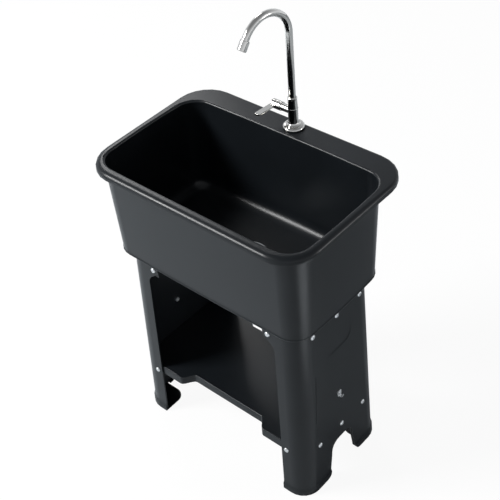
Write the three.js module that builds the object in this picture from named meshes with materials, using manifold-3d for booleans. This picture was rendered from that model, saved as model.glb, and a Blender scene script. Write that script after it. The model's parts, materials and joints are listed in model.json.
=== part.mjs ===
// A free-standing laundry sink: a moulded tub on two end panels with a shelf between them,
// a high-arc single-lever tap on the back deck and a basket strainer in the floor of the basin.
// Millimetres, +Z up, the front towards -Y. The origin lies on the floor under the middle of the rim.

import * as THREE from "three";
import { mergeVertices } from "three/addons/utils/BufferGeometryUtils.js";
import Module from "manifold-3d";

// ---------------------------------------------------------------- driving dimensions

const CLEARANCE = 0.3; // gap between two pieces that sit on or in each other

// tub
const SINK_WIDTH = 600;
const SINK_DEPTH = 400;
const RIM_HEIGHT = 790; // top of the rim above the floor
const RIM_CORNER_RADIUS = 80;
const RIM_LIP_HEIGHT = 16; // how far the rim's outer edge hangs down
const RIM_ROLL_RADIUS = 7; // rounding of the rim's upper outer edge
const RIM_SIDE_OVERHANG = 18; // from the tub wall out to the rim's edge
const RIM_FRONT_OVERHANG = 22;
const OPENING_ROLL = 2.5; // rounding where the basin wall meets the rim
const TUB_WALL = 4;
const DECK_DEPTH = 59; // behind the tub wall, for the tap
const TUB_TOP_RADIUS = 56;
const TUB_DRAFT = 8; // each wall leans in by this much from the rim to the lower edge
const TUB_LOWER_EDGE = 538.8; // height of the tub's lower outer edge
const TUB_FLOOR_THICKNESS = 4.4;
const FLOOR_FALL = 6; // the basin floor falls this much towards the drain
const FLOOR_FILLET = 30; // between the basin floor and its walls
const EDGE_BEAD_HEIGHT = 5; // the bead round the tub's lower edge
const EDGE_BEAD_PROUD = 1.5;
const WALL_BOW = 2.3; // the tub's walls swell outwards by this much in the middle

// end panels
const PANEL_WALL = 4;
const PANEL_SETBACK = 17.8; // from the tub's lower edge in to the panel's outer face
const PANEL_SPLAY = 13.8; // the panel's faces lean out by this much from the top to the floor
const PANEL_CORNER_RADIUS = 46;
const FLANGE_TOP_WIDTH = 66; // from the panel's side face to the flange's free edge, at the top
const FLANGE_FOOT_WIDTH = 70; // the same at the floor
const FOOT_BEAD_PROUD = 3;
const FOOT_BEAD_HEIGHT = 18;
const FOOT_BEAD_BLEND = 7;
const FOOT_PLATE_THICKNESS = 4;
const FOOT_PLATE_DEPTH = 68; // from the panel's front or back face
const FOOT_PLATE_CORNER = 26;
const TAB_REACH = 32; // the flange's upper tab reaches this much further than its edge
const TAB_START = 78; // below the panel's top edge
const TAB_BEND_END = 27; // below the panel's top edge: above it the tab's edge is straight
const ARCH_HALF_WIDTH = 50;
const ARCH_SHOULDER_HALF_WIDTH = 42;
const ARCH_SHOULDER_HEIGHT = 72;
const ARCH_CROWN_HALF_WIDTH = 9;
const ARCH_HEIGHT = 108;
const ARCH_FOOT_RADIUS = 20;
const ARCH_LIP_DEPTH = 10; // the stiffening lip that turns in round the arch
const RELIEF_BOTTOM = 403; // the shallow panel moulded into each side
const RELIEF_TOP = 480;
const RELIEF_WIDTH = 98;
const RELIEF_RADIUS = 25;
const RELIEF_DEPTH = 1.2;
const RELIEF_SLOPE = 2.6; // how far the recess's walls slope in over its depth

// the tub's collars, which drop inside the tops of the panels
const COLLAR_DROP = 54; // below the tub's lower edge
const COLLAR_WALL = 4;
const COLLAR_SETBACK_FROM_TAB = 3;

// shelf
const SHELF_TOP = 165;
const SHELF_LIP = 24;
const SHELF_WALL = 3.5;
const SHELF_RECESS_DEPTH = 29; // how far the middle of the shelf stands back from its tabs
const SHELF_TAB_WIDTH = 60; // how far a tab reaches past the panel's flange
const SHELF_BEND_WIDTH = 31; // along the front, from the recess to the tab

// screws
const SCREW_HEAD_RADIUS = 6.5;
const SCREW_HEAD_HEIGHT = 3.2;
const SCREW_SHANK_RADIUS = 2.4;
const SCREW_LENGTH = 15;
const SCREW_SEAT_DEPTH = 0.6;
const SIDE_SCREW_MARGIN = 50; // from the panel's front or back face to the outer two of a side's three
const UPPER_SCREW_DROP = 33.5; // below the tub's lower edge
const LOWER_SCREW_DROP = 16.5; // below the shelf's top
const FLANGE_SCREW_MARGIN = 14.6; // from the free edge of the flange or its tab

// side hooks
const HOOK_HEIGHT = 265; // its screw above the floor
const HOOK_FORWARD = 5.5; // from the middle of the panel to the hook
const HOOK_PLATE_WIDTH = 13;
const HOOK_PLATE_ABOVE = 5; // from the screw to the plate's upper edge
const HOOK_PLATE_BELOW = 12;
const HOOK_PLATE_THICKNESS = 2.5;
const HOOK_PLATE_CORNER = 3;
const HOOK_REACH = 9; // from the plate's face to the prong's outer face
const HOOK_PRONG_WIDTH = 8;
const HOOK_PRONG_THICKNESS = 2.5;
const HOOK_PRONG_RISE = 7;
const HOOK_SCREW_HEAD_RADIUS = 3.3;
const HOOK_SCREW_HEAD_HEIGHT = 2;
const HOOK_SCREW_LENGTH = 14;
const HOOK_SCREW_SHANK_RADIUS = 2;
const HOOK_NUT_RADIUS = 6.5; // over the corners
const HOOK_NUT_HEIGHT = 4;

// tap
const TAP_FROM_BACK = 27; // the tap's axis from the deck's back edge
const DECK_HOLE_RADIUS = 15;
const DECK_GASKET_RADIUS = 23;
const DECK_GASKET_THICKNESS = 1.5;
const FLANGE_RADIUS = 25;
const FLANGE_HEIGHT = 6.5;
const BODY_RADIUS = 11.4;
const BODY_TOP_RADIUS = 10.2;
const BODY_FOOT_RADIUS = 16.5;
const BODY_FOOT_FLARE = 7;
const BODY_RING_HEIGHT = 51; // above the deck
const BODY_RING_PROUD = 0.6;
const BODY_TOP = 73.5; // above the deck
const WATERWAY_RADIUS = 5.5;
const SHANK_RADIUS = 9.2;
const SHANK_SOCKET_DEPTH = 9;
const SHANK_DROP = 60; // below the deck's upper face
const SHANK_WASHER_RADIUS = 19;
const SHANK_WASHER_THICKNESS = 2;
const SHANK_NUT_RADIUS = 17.3; // over the corners
const SHANK_NUT_HEIGHT = 8;
const RETAINING_NUT_RADIUS = 10.9;
const RETAINING_NUT_HEIGHT = 6;
const SPOUT_RADIUS = 8;
const SPOUT_BORE_RADIUS = 6.6;
const SPOUT_SOCKET_DEPTH = 12;
const SPOUT_SEAL_THICKNESS = 1.6;
const SPOUT_BEND_RADIUS = 65;
const SPOUT_BEND_CENTRE = 238; // above the deck
const SPOUT_SWEEP = THREE.MathUtils.degToRad(147);
const SPOUT_STUB = 4; // straight tube between the bend and the aerator
const SPOUT_SWING = THREE.MathUtils.degToRad(-6); // turned a little to the left of straight ahead
const AERATOR_RADIUS = 10.3;
const AERATOR_LENGTH = 22;
const AERATOR_SOCKET = 8; // how far the spout reaches into the aerator's housing
const AERATOR_WALL = 1.6;
const SCREEN_THICKNESS = 2;
const SCREEN_RECESS = 1.5;
const VALVE_HEIGHT = 43; // the valve's axis above the deck
const NECK_RADIUS = 9;
const NECK_REACH = 29; // from the tap's axis to the end of the neck
const CARTRIDGE_RADIUS = 6.2;
const CARTRIDGE_LENGTH = 18;
const STEM_RADIUS = 2.5;
const STEM_IN_CARTRIDGE = 7;
const STEM_IN_KNOB = 15;
const KNOB_GAP = 1;
const KNOB_RADIUS = 10.7;
const KNOB_LENGTH = 28;
const KNOB_ROUND = 1.6;
const LEVER_WIDTH = 14;
const LEVER_THICKNESS = 3.6;
const LEVER_REACH = 64; // from the valve's axis to the lever's tip
const LEVER_TILT = THREE.MathUtils.degToRad(4.5);
const LEVER_TIP_RADIUS = 4;
const GRUB_SCREW_RADIUS = 1.8;
const GRUB_SCREW_FROM_KNOB_END = 7;
const GRUB_SCREW_RECESS = 1; // its end below the knob's face

// drain
const DRAIN_BOSS_RADIUS = 62;
const DRAIN_BOSS_DROP = 5; // below the tub's lower edge
const DRAIN_FLANGE_RADIUS = 56;
const DRAIN_FLANGE_THICKNESS = 2.4;
const STRAINER_RADIUS = 43;
const STRAINER_WALL = 2.2;
const STRAINER_DEPTH = 46;
const STRAINER_OUTLET_RADIUS = 19;
const STRAINER_SPIGOT_RADIUS = 24;
const STRAINER_SPIGOT_LENGTH = 20;
const DRAIN_GASKET_THICKNESS = 2.5;
const FRICTION_RING_THICKNESS = 1.2;
const DRAIN_SEAL_RADIUS = 57;
const LOCKNUT_RADIUS = 55;
const LOCKNUT_HEIGHT = 9;
const LOCKNUT_LUG = 5; // how thick each of its lugs is, outwards
const LOCKNUT_LUG_WIDTH = 10;
const LOCKNUT_LUG_COUNT = 8;
const BASKET_CUP_RADIUS = 36;
const BASKET_WALL = 1.2;
const BASKET_DEPTH = 30;
const BASKET_HOLE_RADIUS = 2.6;
const BASKET_HOLE_CIRCLE = 26;
const BASKET_HOLE_COUNT = 12;
const BASKET_POST_RADIUS = 3.5;
const BASKET_KNOB_RADIUS = 9;
const BASKET_RIM_DROP = 1; // the basket's rim below the drain flange's upper face, over its wall
const BASKET_KNOB_DROP = 8; // the top of the knob below the drain flange's upper face
const STOPPER_RADIUS = 24;
const STOPPER_THICKNESS = 5;
const STOPPER_STUD_RADIUS = 3;
const TAILPIECE_RADIUS = 19;
const TAILPIECE_WALL = 1.5;
const TAILPIECE_LENGTH = 100;
const TAILPIECE_FLANGE_RADIUS = 23.4;
const TAILPIECE_FLANGE_THICKNESS = 2;
const SLIP_NUT_WALL = 4;
const SLIP_NUT_OVERLAP = 14; // how far the nut reaches up the spigot
const SLIP_NUT_FLOOR = 3;
const SLIP_NUT_RIB = 1.5; // how far each grip rib stands out
const SLIP_NUT_RIB_WIDTH = 4;
const SLIP_NUT_RIB_COUNT = 8;

// facets
const CORNER_STEPS = 6;
const BOW_STEPS = 4;
const ROUND_STEPS = 20;
const SMALL_STEPS = 8;
const DRAIN_STEPS = 28;
const SPOUT_STEPS = 12;
const SPOUT_BEND_STEPS = 14;

// ---------------------------------------------------------------- worked-out sizes

const TUB_TOP_HALF_WIDTH = SINK_WIDTH / 2 - RIM_SIDE_OVERHANG;
const TUB_TOP_HALF_DEPTH = (SINK_DEPTH - RIM_FRONT_OVERHANG - DECK_DEPTH) / 2;
const TUB_CENTRE_Y = -SINK_DEPTH / 2 + RIM_FRONT_OVERHANG + TUB_TOP_HALF_DEPTH;
const TUB_WALL_HEIGHT = RIM_HEIGHT - TUB_LOWER_EDGE;
const PANEL_TOP = TUB_LOWER_EDGE - CLEARANCE;
const PANEL_TOP_HALF_WIDTH = TUB_TOP_HALF_WIDTH - TUB_DRAFT - PANEL_SETBACK;
const PANEL_TOP_HALF_DEPTH = TUB_TOP_HALF_DEPTH - TUB_DRAFT - PANEL_SETBACK;
const TAP_Y = SINK_DEPTH / 2 - TAP_FROM_BACK;
const UPPER_SCREW_Z = TUB_LOWER_EDGE - UPPER_SCREW_DROP;
const LOWER_SCREW_Z = SHELF_TOP - LOWER_SCREW_DROP;
const DRAIN_LEVEL = TUB_LOWER_EDGE + TUB_FLOOR_THICKNESS; // basin floor beside the drain
const LEAN = PANEL_SPLAY / PANEL_TOP; // how far a panel face moves in for each mm of height

// ---------------------------------------------------------------- finishes

const FINISHES = {
  polypropylene: { color: 0x2c2e30, roughness: 0.42, metalness: 0 },
  chrome: { color: 0xc9ccd0, roughness: 0.08, metalness: 1 },
  steel: { color: 0xb4b7ba, roughness: 0.3, metalness: 1 },
  zinc: { color: 0xd6d8da, roughness: 0.35, metalness: 1 },
  brass: { color: 0xb79a58, roughness: 0.4, metalness: 1 },
  rubber: { color: 0x1a1a1b, roughness: 0.85, metalness: 0 },
  fibre: { color: 0x8c7a5c, roughness: 0.9, metalness: 0 },
  white_plastic: { color: 0xe4e4e0, roughness: 0.5, metalness: 0 },
};

// ---------------------------------------------------------------- solids

const wasm = await Module();
wasm.setup();

// A closed three.js geometry as a solid that can be joined and cut.
function solid(geometry) {
  const bare = geometry.index ? geometry.toNonIndexed() : geometry.clone();
  bare.deleteAttribute("normal");
  bare.deleteAttribute("uv");
  const merged = mergeVertices(bare, 1e-4);
  const data = {
    numProp: 3,
    vertProperties: new Float32Array(merged.attributes.position.array),
    triVerts: new Uint32Array(merged.index.array),
  };
  return new wasm.Manifold(new wasm.Mesh(data));
}

function geometryOf(shape) {
  const data = shape.getMesh();
  const geometry = new THREE.BufferGeometry();
  geometry.setAttribute("position", new THREE.BufferAttribute(data.vertProperties, 3));
  geometry.setIndex(new THREE.BufferAttribute(data.triVerts, 1));
  const faceted = geometry.toNonIndexed();
  faceted.computeVertexNormals();
  return faceted;
}

function join(...solids) {
  return solids.reduce((whole, piece) => whole.add(piece));
}

function cut(whole, ...tools) {
  return tools.reduce((rest, tool) => rest.subtract(tool), whole);
}

function moved(geometry, x, y, z) {
  return geometry.clone().translate(x, y, z);
}

// A solid turned about Z from a profile of [radius, height] pairs that starts and ends on the axis,
// or closes on itself round a bore.
function turned(profile, steps = ROUND_STEPS) {
  const onAxis = profile[0][0] === 0;
  const points = profile.map(([radius, height]) => new THREE.Vector2(radius, height));
  if (!onAxis) points.push(points[0].clone());
  return new THREE.LatheGeometry(points, steps).rotateX(Math.PI / 2);
}

// A plain ring or tube between two heights.
function ring(outer, inner, low, high, steps = ROUND_STEPS) {
  return turned([[inner, low], [outer, low], [outer, high], [inner, high]], steps);
}

function rod(radius, low, high, steps = ROUND_STEPS) {
  return turned([[0, low], [radius, low], [radius, high], [0, high]], steps);
}

// A hexagon nut with a round bore.
function hexNut(cornerRadius, boreRadius, low, high) {
  const blank = solid(rod(cornerRadius, low, high, 6));
  return cut(blank, solid(rod(boreRadius, low - 1, high + 1)));
}

// Skins a stack of outlines that all have the same number of points, and caps both ends.
function loft(rings) {
  const count = rings[0].length;
  const positions = rings.flat().flatMap((point) => [point.x, point.y, point.z]);
  const index = [];
  for (let k = 0; k < rings.length - 1; k++) {
    for (let i = 0; i < count; i++) {
      const a = k * count + i;
      const b = k * count + ((i + 1) % count);
      index.push(a, b, b + count, a, b + count, a + count);
    }
  }
  const flat = (points) => points.map((point) => new THREE.Vector2(point.x, point.y));
  const top = (rings.length - 1) * count;
  for (const [a, b, c] of THREE.ShapeUtils.triangulateShape(flat(rings[0]), [])) {
    index.push(c, b, a);
  }
  for (const [a, b, c] of THREE.ShapeUtils.triangulateShape(flat(rings.at(-1)), [])) {
    index.push(top + a, top + b, top + c);
  }
  const geometry = new THREE.BufferGeometry();
  geometry.setAttribute("position", new THREE.Float32BufferAttribute(positions, 3));
  geometry.setIndex(index);
  return geometry;
}

// Points of a quarter circle about (x, y), counter-clockwise from the angle `from`.
function quarter(x, y, radius, from) {
  const points = [];
  for (let i = 0; i <= CORNER_STEPS; i++) {
    const angle = from + (i / CORNER_STEPS) * (Math.PI / 2);
    points.push([x + radius * Math.cos(angle), y + radius * Math.sin(angle)]);
  }
  return points;
}

// The points between two corners of a bowed wall; outward is the unit vector that it swells along.
function bowedSide(start, end, outward) {
  const points = [];
  for (let i = 1; i < BOW_STEPS; i++) {
    const t = i / BOW_STEPS;
    const swell = WALL_BOW * 4 * t * (1 - t);
    points.push([
      start[0] + (end[0] - start[0]) * t + outward[0] * swell,
      start[1] + (end[1] - start[1]) * t + outward[1] * swell,
    ]);
  }
  return points;
}

// The four corners of a round-cornered rectangle about (0, centreY), counter-clockwise from the front right.
function roundCorners(halfWidth, halfDepth, radius, centreY) {
  const x = halfWidth - radius;
  const y = halfDepth - radius;
  return [
    quarter(x, centreY - y, radius, -Math.PI / 2),
    quarter(x, centreY + y, radius, 0),
    quarter(-x, centreY + y, radius, Math.PI / 2),
    quarter(-x, centreY - y, radius, Math.PI),
  ];
}

function atHeight(points, z) {
  return points.map(([x, y]) => new THREE.Vector3(x, y, z));
}

// ---------------------------------------------------------------- tub

// The tub wall's outline at a height, moved in by `inset`. Its sides are bowed.
function tubOutline(z, inset = 0) {
  const lean = TUB_DRAFT * ((RIM_HEIGHT - z) / TUB_WALL_HEIGHT) + inset;
  const halfWidth = TUB_TOP_HALF_WIDTH - lean;
  const halfDepth = TUB_TOP_HALF_DEPTH - lean;
  const corners = roundCorners(halfWidth, halfDepth, TUB_TOP_RADIUS - lean, TUB_CENTRE_Y);
  const outward = [[1, 0], [0, 1], [-1, 0], [0, -1]];
  const points = corners.flatMap((corner, i) => [
    ...corner,
    ...bowedSide(corner.at(-1), corners[(i + 1) % 4][0], outward[i]),
  ]);
  return atHeight(points, z);
}

// The rim's outline, moved in by `inset`. It has straight sides and reaches back over the deck.
function rimOutline(z, inset = 0) {
  const halfWidth = SINK_WIDTH / 2 - inset;
  const halfDepth = SINK_DEPTH / 2 - inset;
  return atHeight(roundCorners(halfWidth, halfDepth, RIM_CORNER_RADIUS - inset, 0).flat(), z);
}

function makeRim() {
  const rings = [rimOutline(RIM_HEIGHT - RIM_LIP_HEIGHT)];
  for (const angle of [0, 30, 60, 90].map(THREE.MathUtils.degToRad)) {
    const inset = RIM_ROLL_RADIUS * (1 - Math.cos(angle));
    rings.push(rimOutline(RIM_HEIGHT - RIM_ROLL_RADIUS * (1 - Math.sin(angle)), inset));
  }
  const underside = loft([
    rimOutline(RIM_HEIGHT - RIM_LIP_HEIGHT - 1, TUB_WALL),
    rimOutline(RIM_HEIGHT - RIM_ROLL_RADIUS, TUB_WALL),
    rimOutline(RIM_HEIGHT - TUB_WALL, RIM_ROLL_RADIUS),
  ]);
  return cut(solid(loft(rings)), solid(underside));
}

function makeTubBlock() {
  const beadTop = TUB_LOWER_EDGE + EDGE_BEAD_HEIGHT;
  return solid(loft([
    tubOutline(TUB_LOWER_EDGE, -EDGE_BEAD_PROUD / 2),
    tubOutline(TUB_LOWER_EDGE + EDGE_BEAD_PROUD, -EDGE_BEAD_PROUD),
    tubOutline(beadTop - EDGE_BEAD_PROUD, -EDGE_BEAD_PROUD),
    tubOutline(beadTop),
    tubOutline(RIM_HEIGHT - TUB_WALL / 2),
  ]));
}

// The space inside the basin: a floor that falls to the drain, a fillet and leaning walls.
function makeBasinSpace() {
  const floorEdge = DRAIN_LEVEL + FLOOR_FALL;
  const drain = tubOutline(DRAIN_LEVEL).map((point) => {
    const angle = Math.atan2(point.y - TUB_CENTRE_Y, point.x);
    const x = DRAIN_BOSS_RADIUS * Math.cos(angle);
    const y = TUB_CENTRE_Y + DRAIN_BOSS_RADIUS * Math.sin(angle);
    return new THREE.Vector3(x, y, DRAIN_LEVEL);
  });
  const rings = [drain];
  for (const angle of [0, 30, 60, 90].map(THREE.MathUtils.degToRad)) {
    const inset = TUB_WALL + FLOOR_FILLET * (1 - Math.sin(angle));
    rings.push(tubOutline(floorEdge + FLOOR_FILLET * (1 - Math.cos(angle)), inset));
  }
  rings.push(tubOutline(RIM_HEIGHT - OPENING_ROLL, TUB_WALL));
  rings.push(tubOutline(RIM_HEIGHT - OPENING_ROLL * 0.3, TUB_WALL - OPENING_ROLL * 0.3));
  rings.push(tubOutline(RIM_HEIGHT, TUB_WALL - OPENING_ROLL));
  rings.push(tubOutline(RIM_HEIGHT + 1, TUB_WALL - OPENING_ROLL));
  return solid(loft(rings));
}

// A U-shaped wall under one end of the tub, just inside the panel that carries it.
function makeCollar(side) {
  const inset = PANEL_WALL + CLEARANCE;
  const freeEdge = tabEdge() + COLLAR_SETBACK_FROM_TAB;
  const low = TUB_LOWER_EDGE - COLLAR_DROP;
  const high = TUB_LOWER_EDGE + TUB_FLOOR_THICKNESS / 2;
  const rings = [low, high].map((z) => uOutline(z, inset, inset + COLLAR_WALL, freeEdge));
  const collar = loft(rings);
  return solid(side > 0 ? collar : collar.rotateZ(Math.PI).translate(0, 2 * TUB_CENTRE_Y, 0));
}

function makeTub() {
  const drainTools = [
    rod(DRAIN_FLANGE_RADIUS + CLEARANCE, DRAIN_LEVEL - DRAIN_FLANGE_THICKNESS, DRAIN_LEVEL + 1, DRAIN_STEPS),
    rod(STRAINER_RADIUS + CLEARANCE, TUB_LOWER_EDGE - DRAIN_BOSS_DROP - 1, DRAIN_LEVEL, DRAIN_STEPS),
  ].map((tool) => moved(tool, 0, TUB_CENTRE_Y, 0));
  const boss = moved(
    rod(DRAIN_BOSS_RADIUS, TUB_LOWER_EDGE - DRAIN_BOSS_DROP, TUB_LOWER_EDGE + 1, DRAIN_STEPS),
    0, TUB_CENTRE_Y, 0,
  );
  const tapHole = moved(rod(DECK_HOLE_RADIUS, RIM_HEIGHT - TUB_WALL - 1, RIM_HEIGHT + 1), 0, TAP_Y, 0);
  const shell = cut(join(makeRim(), makeTubBlock(), solid(boss)), makeBasinSpace());
  const tub = cut(shell, ...drainTools.map(solid), solid(tapHole));
  return cut(join(tub, makeCollar(1), makeCollar(-1)), ...screwHoles("tub"));
}

// ---------------------------------------------------------------- end panels

function panelLean(z) {
  return LEAN * (PANEL_TOP - z);
}

function flangeEdge(z) {
  const width = THREE.MathUtils.lerp(FLANGE_FOOT_WIDTH, FLANGE_TOP_WIDTH, z / PANEL_TOP);
  return PANEL_TOP_HALF_WIDTH + panelLean(z) - width;
}

// The free edge of the upper tab, which stands upright.
function tabEdge() {
  return flangeEdge(PANEL_TOP) - TAB_REACH;
}

// The right panel's face as a line in plan, from the front flange round the side to the back flange.
function panelLine(z, inset, freeEdge) {
  const radius = PANEL_CORNER_RADIUS - inset;
  const x = PANEL_TOP_HALF_WIDTH + panelLean(z) - PANEL_CORNER_RADIUS;
  const y = PANEL_TOP_HALF_DEPTH + panelLean(z) - PANEL_CORNER_RADIUS;
  const front = quarter(x, TUB_CENTRE_Y - y, radius, -Math.PI / 2);
  const back = quarter(x, TUB_CENTRE_Y + y, radius, 0);
  return [[freeEdge, front[0][1]], ...front, ...back, [freeEdge, back.at(-1)[1]]];
}

// A closed U between two insets from the right panel's outer face.
function uOutline(z, outerInset, innerInset, freeEdge) {
  const outer = panelLine(z, outerInset, freeEdge);
  const inner = panelLine(z, innerInset, freeEdge).reverse();
  return atHeight([...outer, ...inner], z);
}

// A point on the right panel's side face and the direction that it faces.
function onSide(y, z) {
  const x = PANEL_TOP_HALF_WIDTH + panelLean(z);
  return { point: new THREE.Vector3(x, y, z), normal: new THREE.Vector3(1, 0, LEAN).normalize() };
}

// A point on the front (facing -1) or back (facing 1) flange and the direction that it faces.
function onFlange(x, z, facing) {
  const y = TUB_CENTRE_Y + facing * (PANEL_TOP_HALF_DEPTH + panelLean(z));
  return { point: new THREE.Vector3(x, y, z), normal: new THREE.Vector3(0, facing, LEAN).normalize() };
}

// Everything within the panels' outer faces, as one block.
function panelBlock() {
  const outline = (z) => {
    const halfWidth = PANEL_TOP_HALF_WIDTH + panelLean(z);
    const halfDepth = PANEL_TOP_HALF_DEPTH + panelLean(z);
    return atHeight(roundCorners(halfWidth, halfDepth, PANEL_CORNER_RADIUS, TUB_CENTRE_Y).flat(), z);
  };
  return solid(loft([outline(0), outline(PANEL_TOP)]));
}

// The wall of the panel with the bead round its foot.
function makePanelWall() {
  const level = (z, proud) => uOutline(z, -proud, PANEL_WALL, flangeEdge(z));
  return solid(loft([
    level(0, FOOT_BEAD_PROUD),
    level(FOOT_BEAD_HEIGHT, FOOT_BEAD_PROUD),
    level(FOOT_BEAD_HEIGHT + FOOT_BEAD_BLEND, 0),
    level(PANEL_TOP, 0),
  ]));
}

// The tab that widens the front or back flange for its upper screw.
function makeTab(facing) {
  const start = PANEL_TOP - TAB_START;
  const straight = PANEL_TOP - TAB_BEND_END;
  const edge = flangeEdge(start);
  const reach = tabEdge();
  const bend = (straight - start) / 2;
  const shape = new THREE.Shape();
  shape.moveTo(edge + PANEL_WALL, start);
  shape.lineTo(edge, start);
  shape.bezierCurveTo(edge, start + bend, reach, straight - bend, reach, straight);
  shape.lineTo(reach, PANEL_TOP);
  shape.lineTo(edge + PANEL_WALL, PANEL_TOP);
  shape.closePath();
  const plate = new THREE.ExtrudeGeometry(shape, {
    depth: PANEL_WALL,
    bevelEnabled: false,
    curveSegments: 8,
  });
  plate.rotateX(Math.PI / 2); // now in XZ, and thick from y = 0 to -PANEL_WALL
  plate.translate(0, facing < 0 ? PANEL_WALL : 0, 0);
  plate.applyMatrix4(new THREE.Matrix4().makeShear(0, 0, 0, 0, 0, -facing * LEAN));
  const outerFaceAtFloor = PANEL_TOP_HALF_DEPTH + panelLean(0);
  return solid(plate.translate(0, TUB_CENTRE_Y + facing * outerFaceAtFloor, 0));
}

// The horizontal plate that the front (facing -1) or back (facing 1) foot stands on.
function makeFootPlate(facing) {
  const inner = flangeEdge(0);
  const outer = PANEL_TOP_HALF_WIDTH + panelLean(0);
  const face = PANEL_TOP_HALF_DEPTH + panelLean(0);
  const rear = face - FOOT_PLATE_DEPTH;
  const shape = new THREE.Shape();
  shape.moveTo(inner, face);
  shape.lineTo(inner, rear + FOOT_PLATE_CORNER);
  shape.absarc(inner + FOOT_PLATE_CORNER, rear + FOOT_PLATE_CORNER, FOOT_PLATE_CORNER,
    Math.PI, 1.5 * Math.PI, false);
  shape.lineTo(outer, rear);
  shape.lineTo(outer, face);
  shape.closePath();
  const plate = new THREE.ExtrudeGeometry(shape, {
    depth: FOOT_PLATE_THICKNESS,
    bevelEnabled: false,
    curveSegments: CORNER_STEPS,
  });
  if (facing < 0) plate.rotateX(Math.PI).translate(0, 0, FOOT_PLATE_THICKNESS);
  return solid(plate.translate(0, TUB_CENTRE_Y, 0));
}

// The arch between the two feet, as an outline of distance from the middle and height.
function archShape(grow) {
  const foot = ARCH_HALF_WIDTH + grow;
  const shoulder = ARCH_SHOULDER_HALF_WIDTH + grow;
  const crown = ARCH_HEIGHT + grow;
  const shape = new THREE.Shape();
  const mirrored = (side) => (x) => side * x;
  const right = mirrored(1);
  const left = mirrored(-1);
  shape.moveTo(right(foot + ARCH_FOOT_RADIUS), -1);
  shape.lineTo(right(foot + ARCH_FOOT_RADIUS), 0);
  shape.quadraticCurveTo(right(foot), 0, right(foot), ARCH_FOOT_RADIUS);
  shape.lineTo(right(shoulder), ARCH_SHOULDER_HEIGHT);
  shape.quadraticCurveTo(right(shoulder), crown, right(ARCH_CROWN_HALF_WIDTH), crown);
  shape.lineTo(left(ARCH_CROWN_HALF_WIDTH), crown);
  shape.quadraticCurveTo(left(shoulder), crown, left(shoulder), ARCH_SHOULDER_HEIGHT);
  shape.lineTo(left(foot), ARCH_FOOT_RADIUS);
  shape.quadraticCurveTo(left(foot), 0, left(foot + ARCH_FOOT_RADIUS), 0);
  shape.lineTo(left(foot + ARCH_FOOT_RADIUS), -1);
  shape.closePath();
  return shape;
}

// An outline of distance from the middle and height, run along X between two places.
function throughSide(shape, from, to) {
  const bar = new THREE.ExtrudeGeometry(shape, {
    depth: to - from,
    bevelEnabled: false,
    curveSegments: CORNER_STEPS,
  });
  bar.rotateX(Math.PI / 2).rotateZ(Math.PI / 2);
  return bar.translate(from, TUB_CENTRE_Y, 0);
}

// The lip that turns in round the arch. It follows the lean of the side.
function makeArchLip() {
  const outer = PANEL_TOP_HALF_WIDTH + panelLean(0);
  const bar = throughSide(archShape(PANEL_WALL), outer - ARCH_LIP_DEPTH, outer + ARCH_LIP_DEPTH);
  bar.applyMatrix4(new THREE.Matrix4().makeShear(0, 0, 0, 0, -LEAN, 0));
  return panelBlock().intersect(solid(bar));
}

// A round-cornered rectangle of distance from the middle and height, drawn in by `inset`.
function reliefShape(inset) {
  const half = RELIEF_WIDTH / 2 - inset;
  const low = RELIEF_BOTTOM + inset;
  const high = RELIEF_TOP - inset;
  const points = [];
  const centres = [[half, low, -90], [half, high, 0], [-half, high, 90], [-half, low, 180]];
  const radius = RELIEF_RADIUS - inset;
  for (const [across, up, from] of centres) {
    const middle = [across - Math.sign(across) * radius, up + (up === low ? radius : -radius)];
    points.push(...quarter(...middle, radius, THREE.MathUtils.degToRad(from)));
  }
  return points;
}

// The shallow panel moulded into the side: a flat round-cornered recess with sloping walls.
function makeRelief() {
  const face = PANEL_TOP_HALF_WIDTH + panelLean(0);
  const levels = [[-RELIEF_DEPTH, RELIEF_SLOPE], [RELIEF_DEPTH, -RELIEF_SLOPE]]; // below and above the face
  const bar = loft(levels.map(([depth, inset]) => atHeight(reliefShape(inset), depth)));
  bar.rotateX(Math.PI / 2).rotateZ(Math.PI / 2).translate(face, TUB_CENTRE_Y, 0);
  return solid(bar.applyMatrix4(new THREE.Matrix4().makeShear(0, 0, 0, 0, -LEAN, 0)));
}

function makePanel() {
  const plates = [-1, 1].map((facing) => panelBlock().intersect(makeFootPlate(facing)));
  const tabs = [-1, 1].map(makeTab);
  const wall = join(makePanelWall(), ...plates, ...tabs, makeArchLip());
  const reach = SINK_WIDTH / 2;
  const arch = solid(throughSide(archShape(0), reach / 2, reach));
  return cut(wall, arch, makeRelief(), ...screwHoles("panel"));
}

// ---------------------------------------------------------------- shelf

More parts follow.
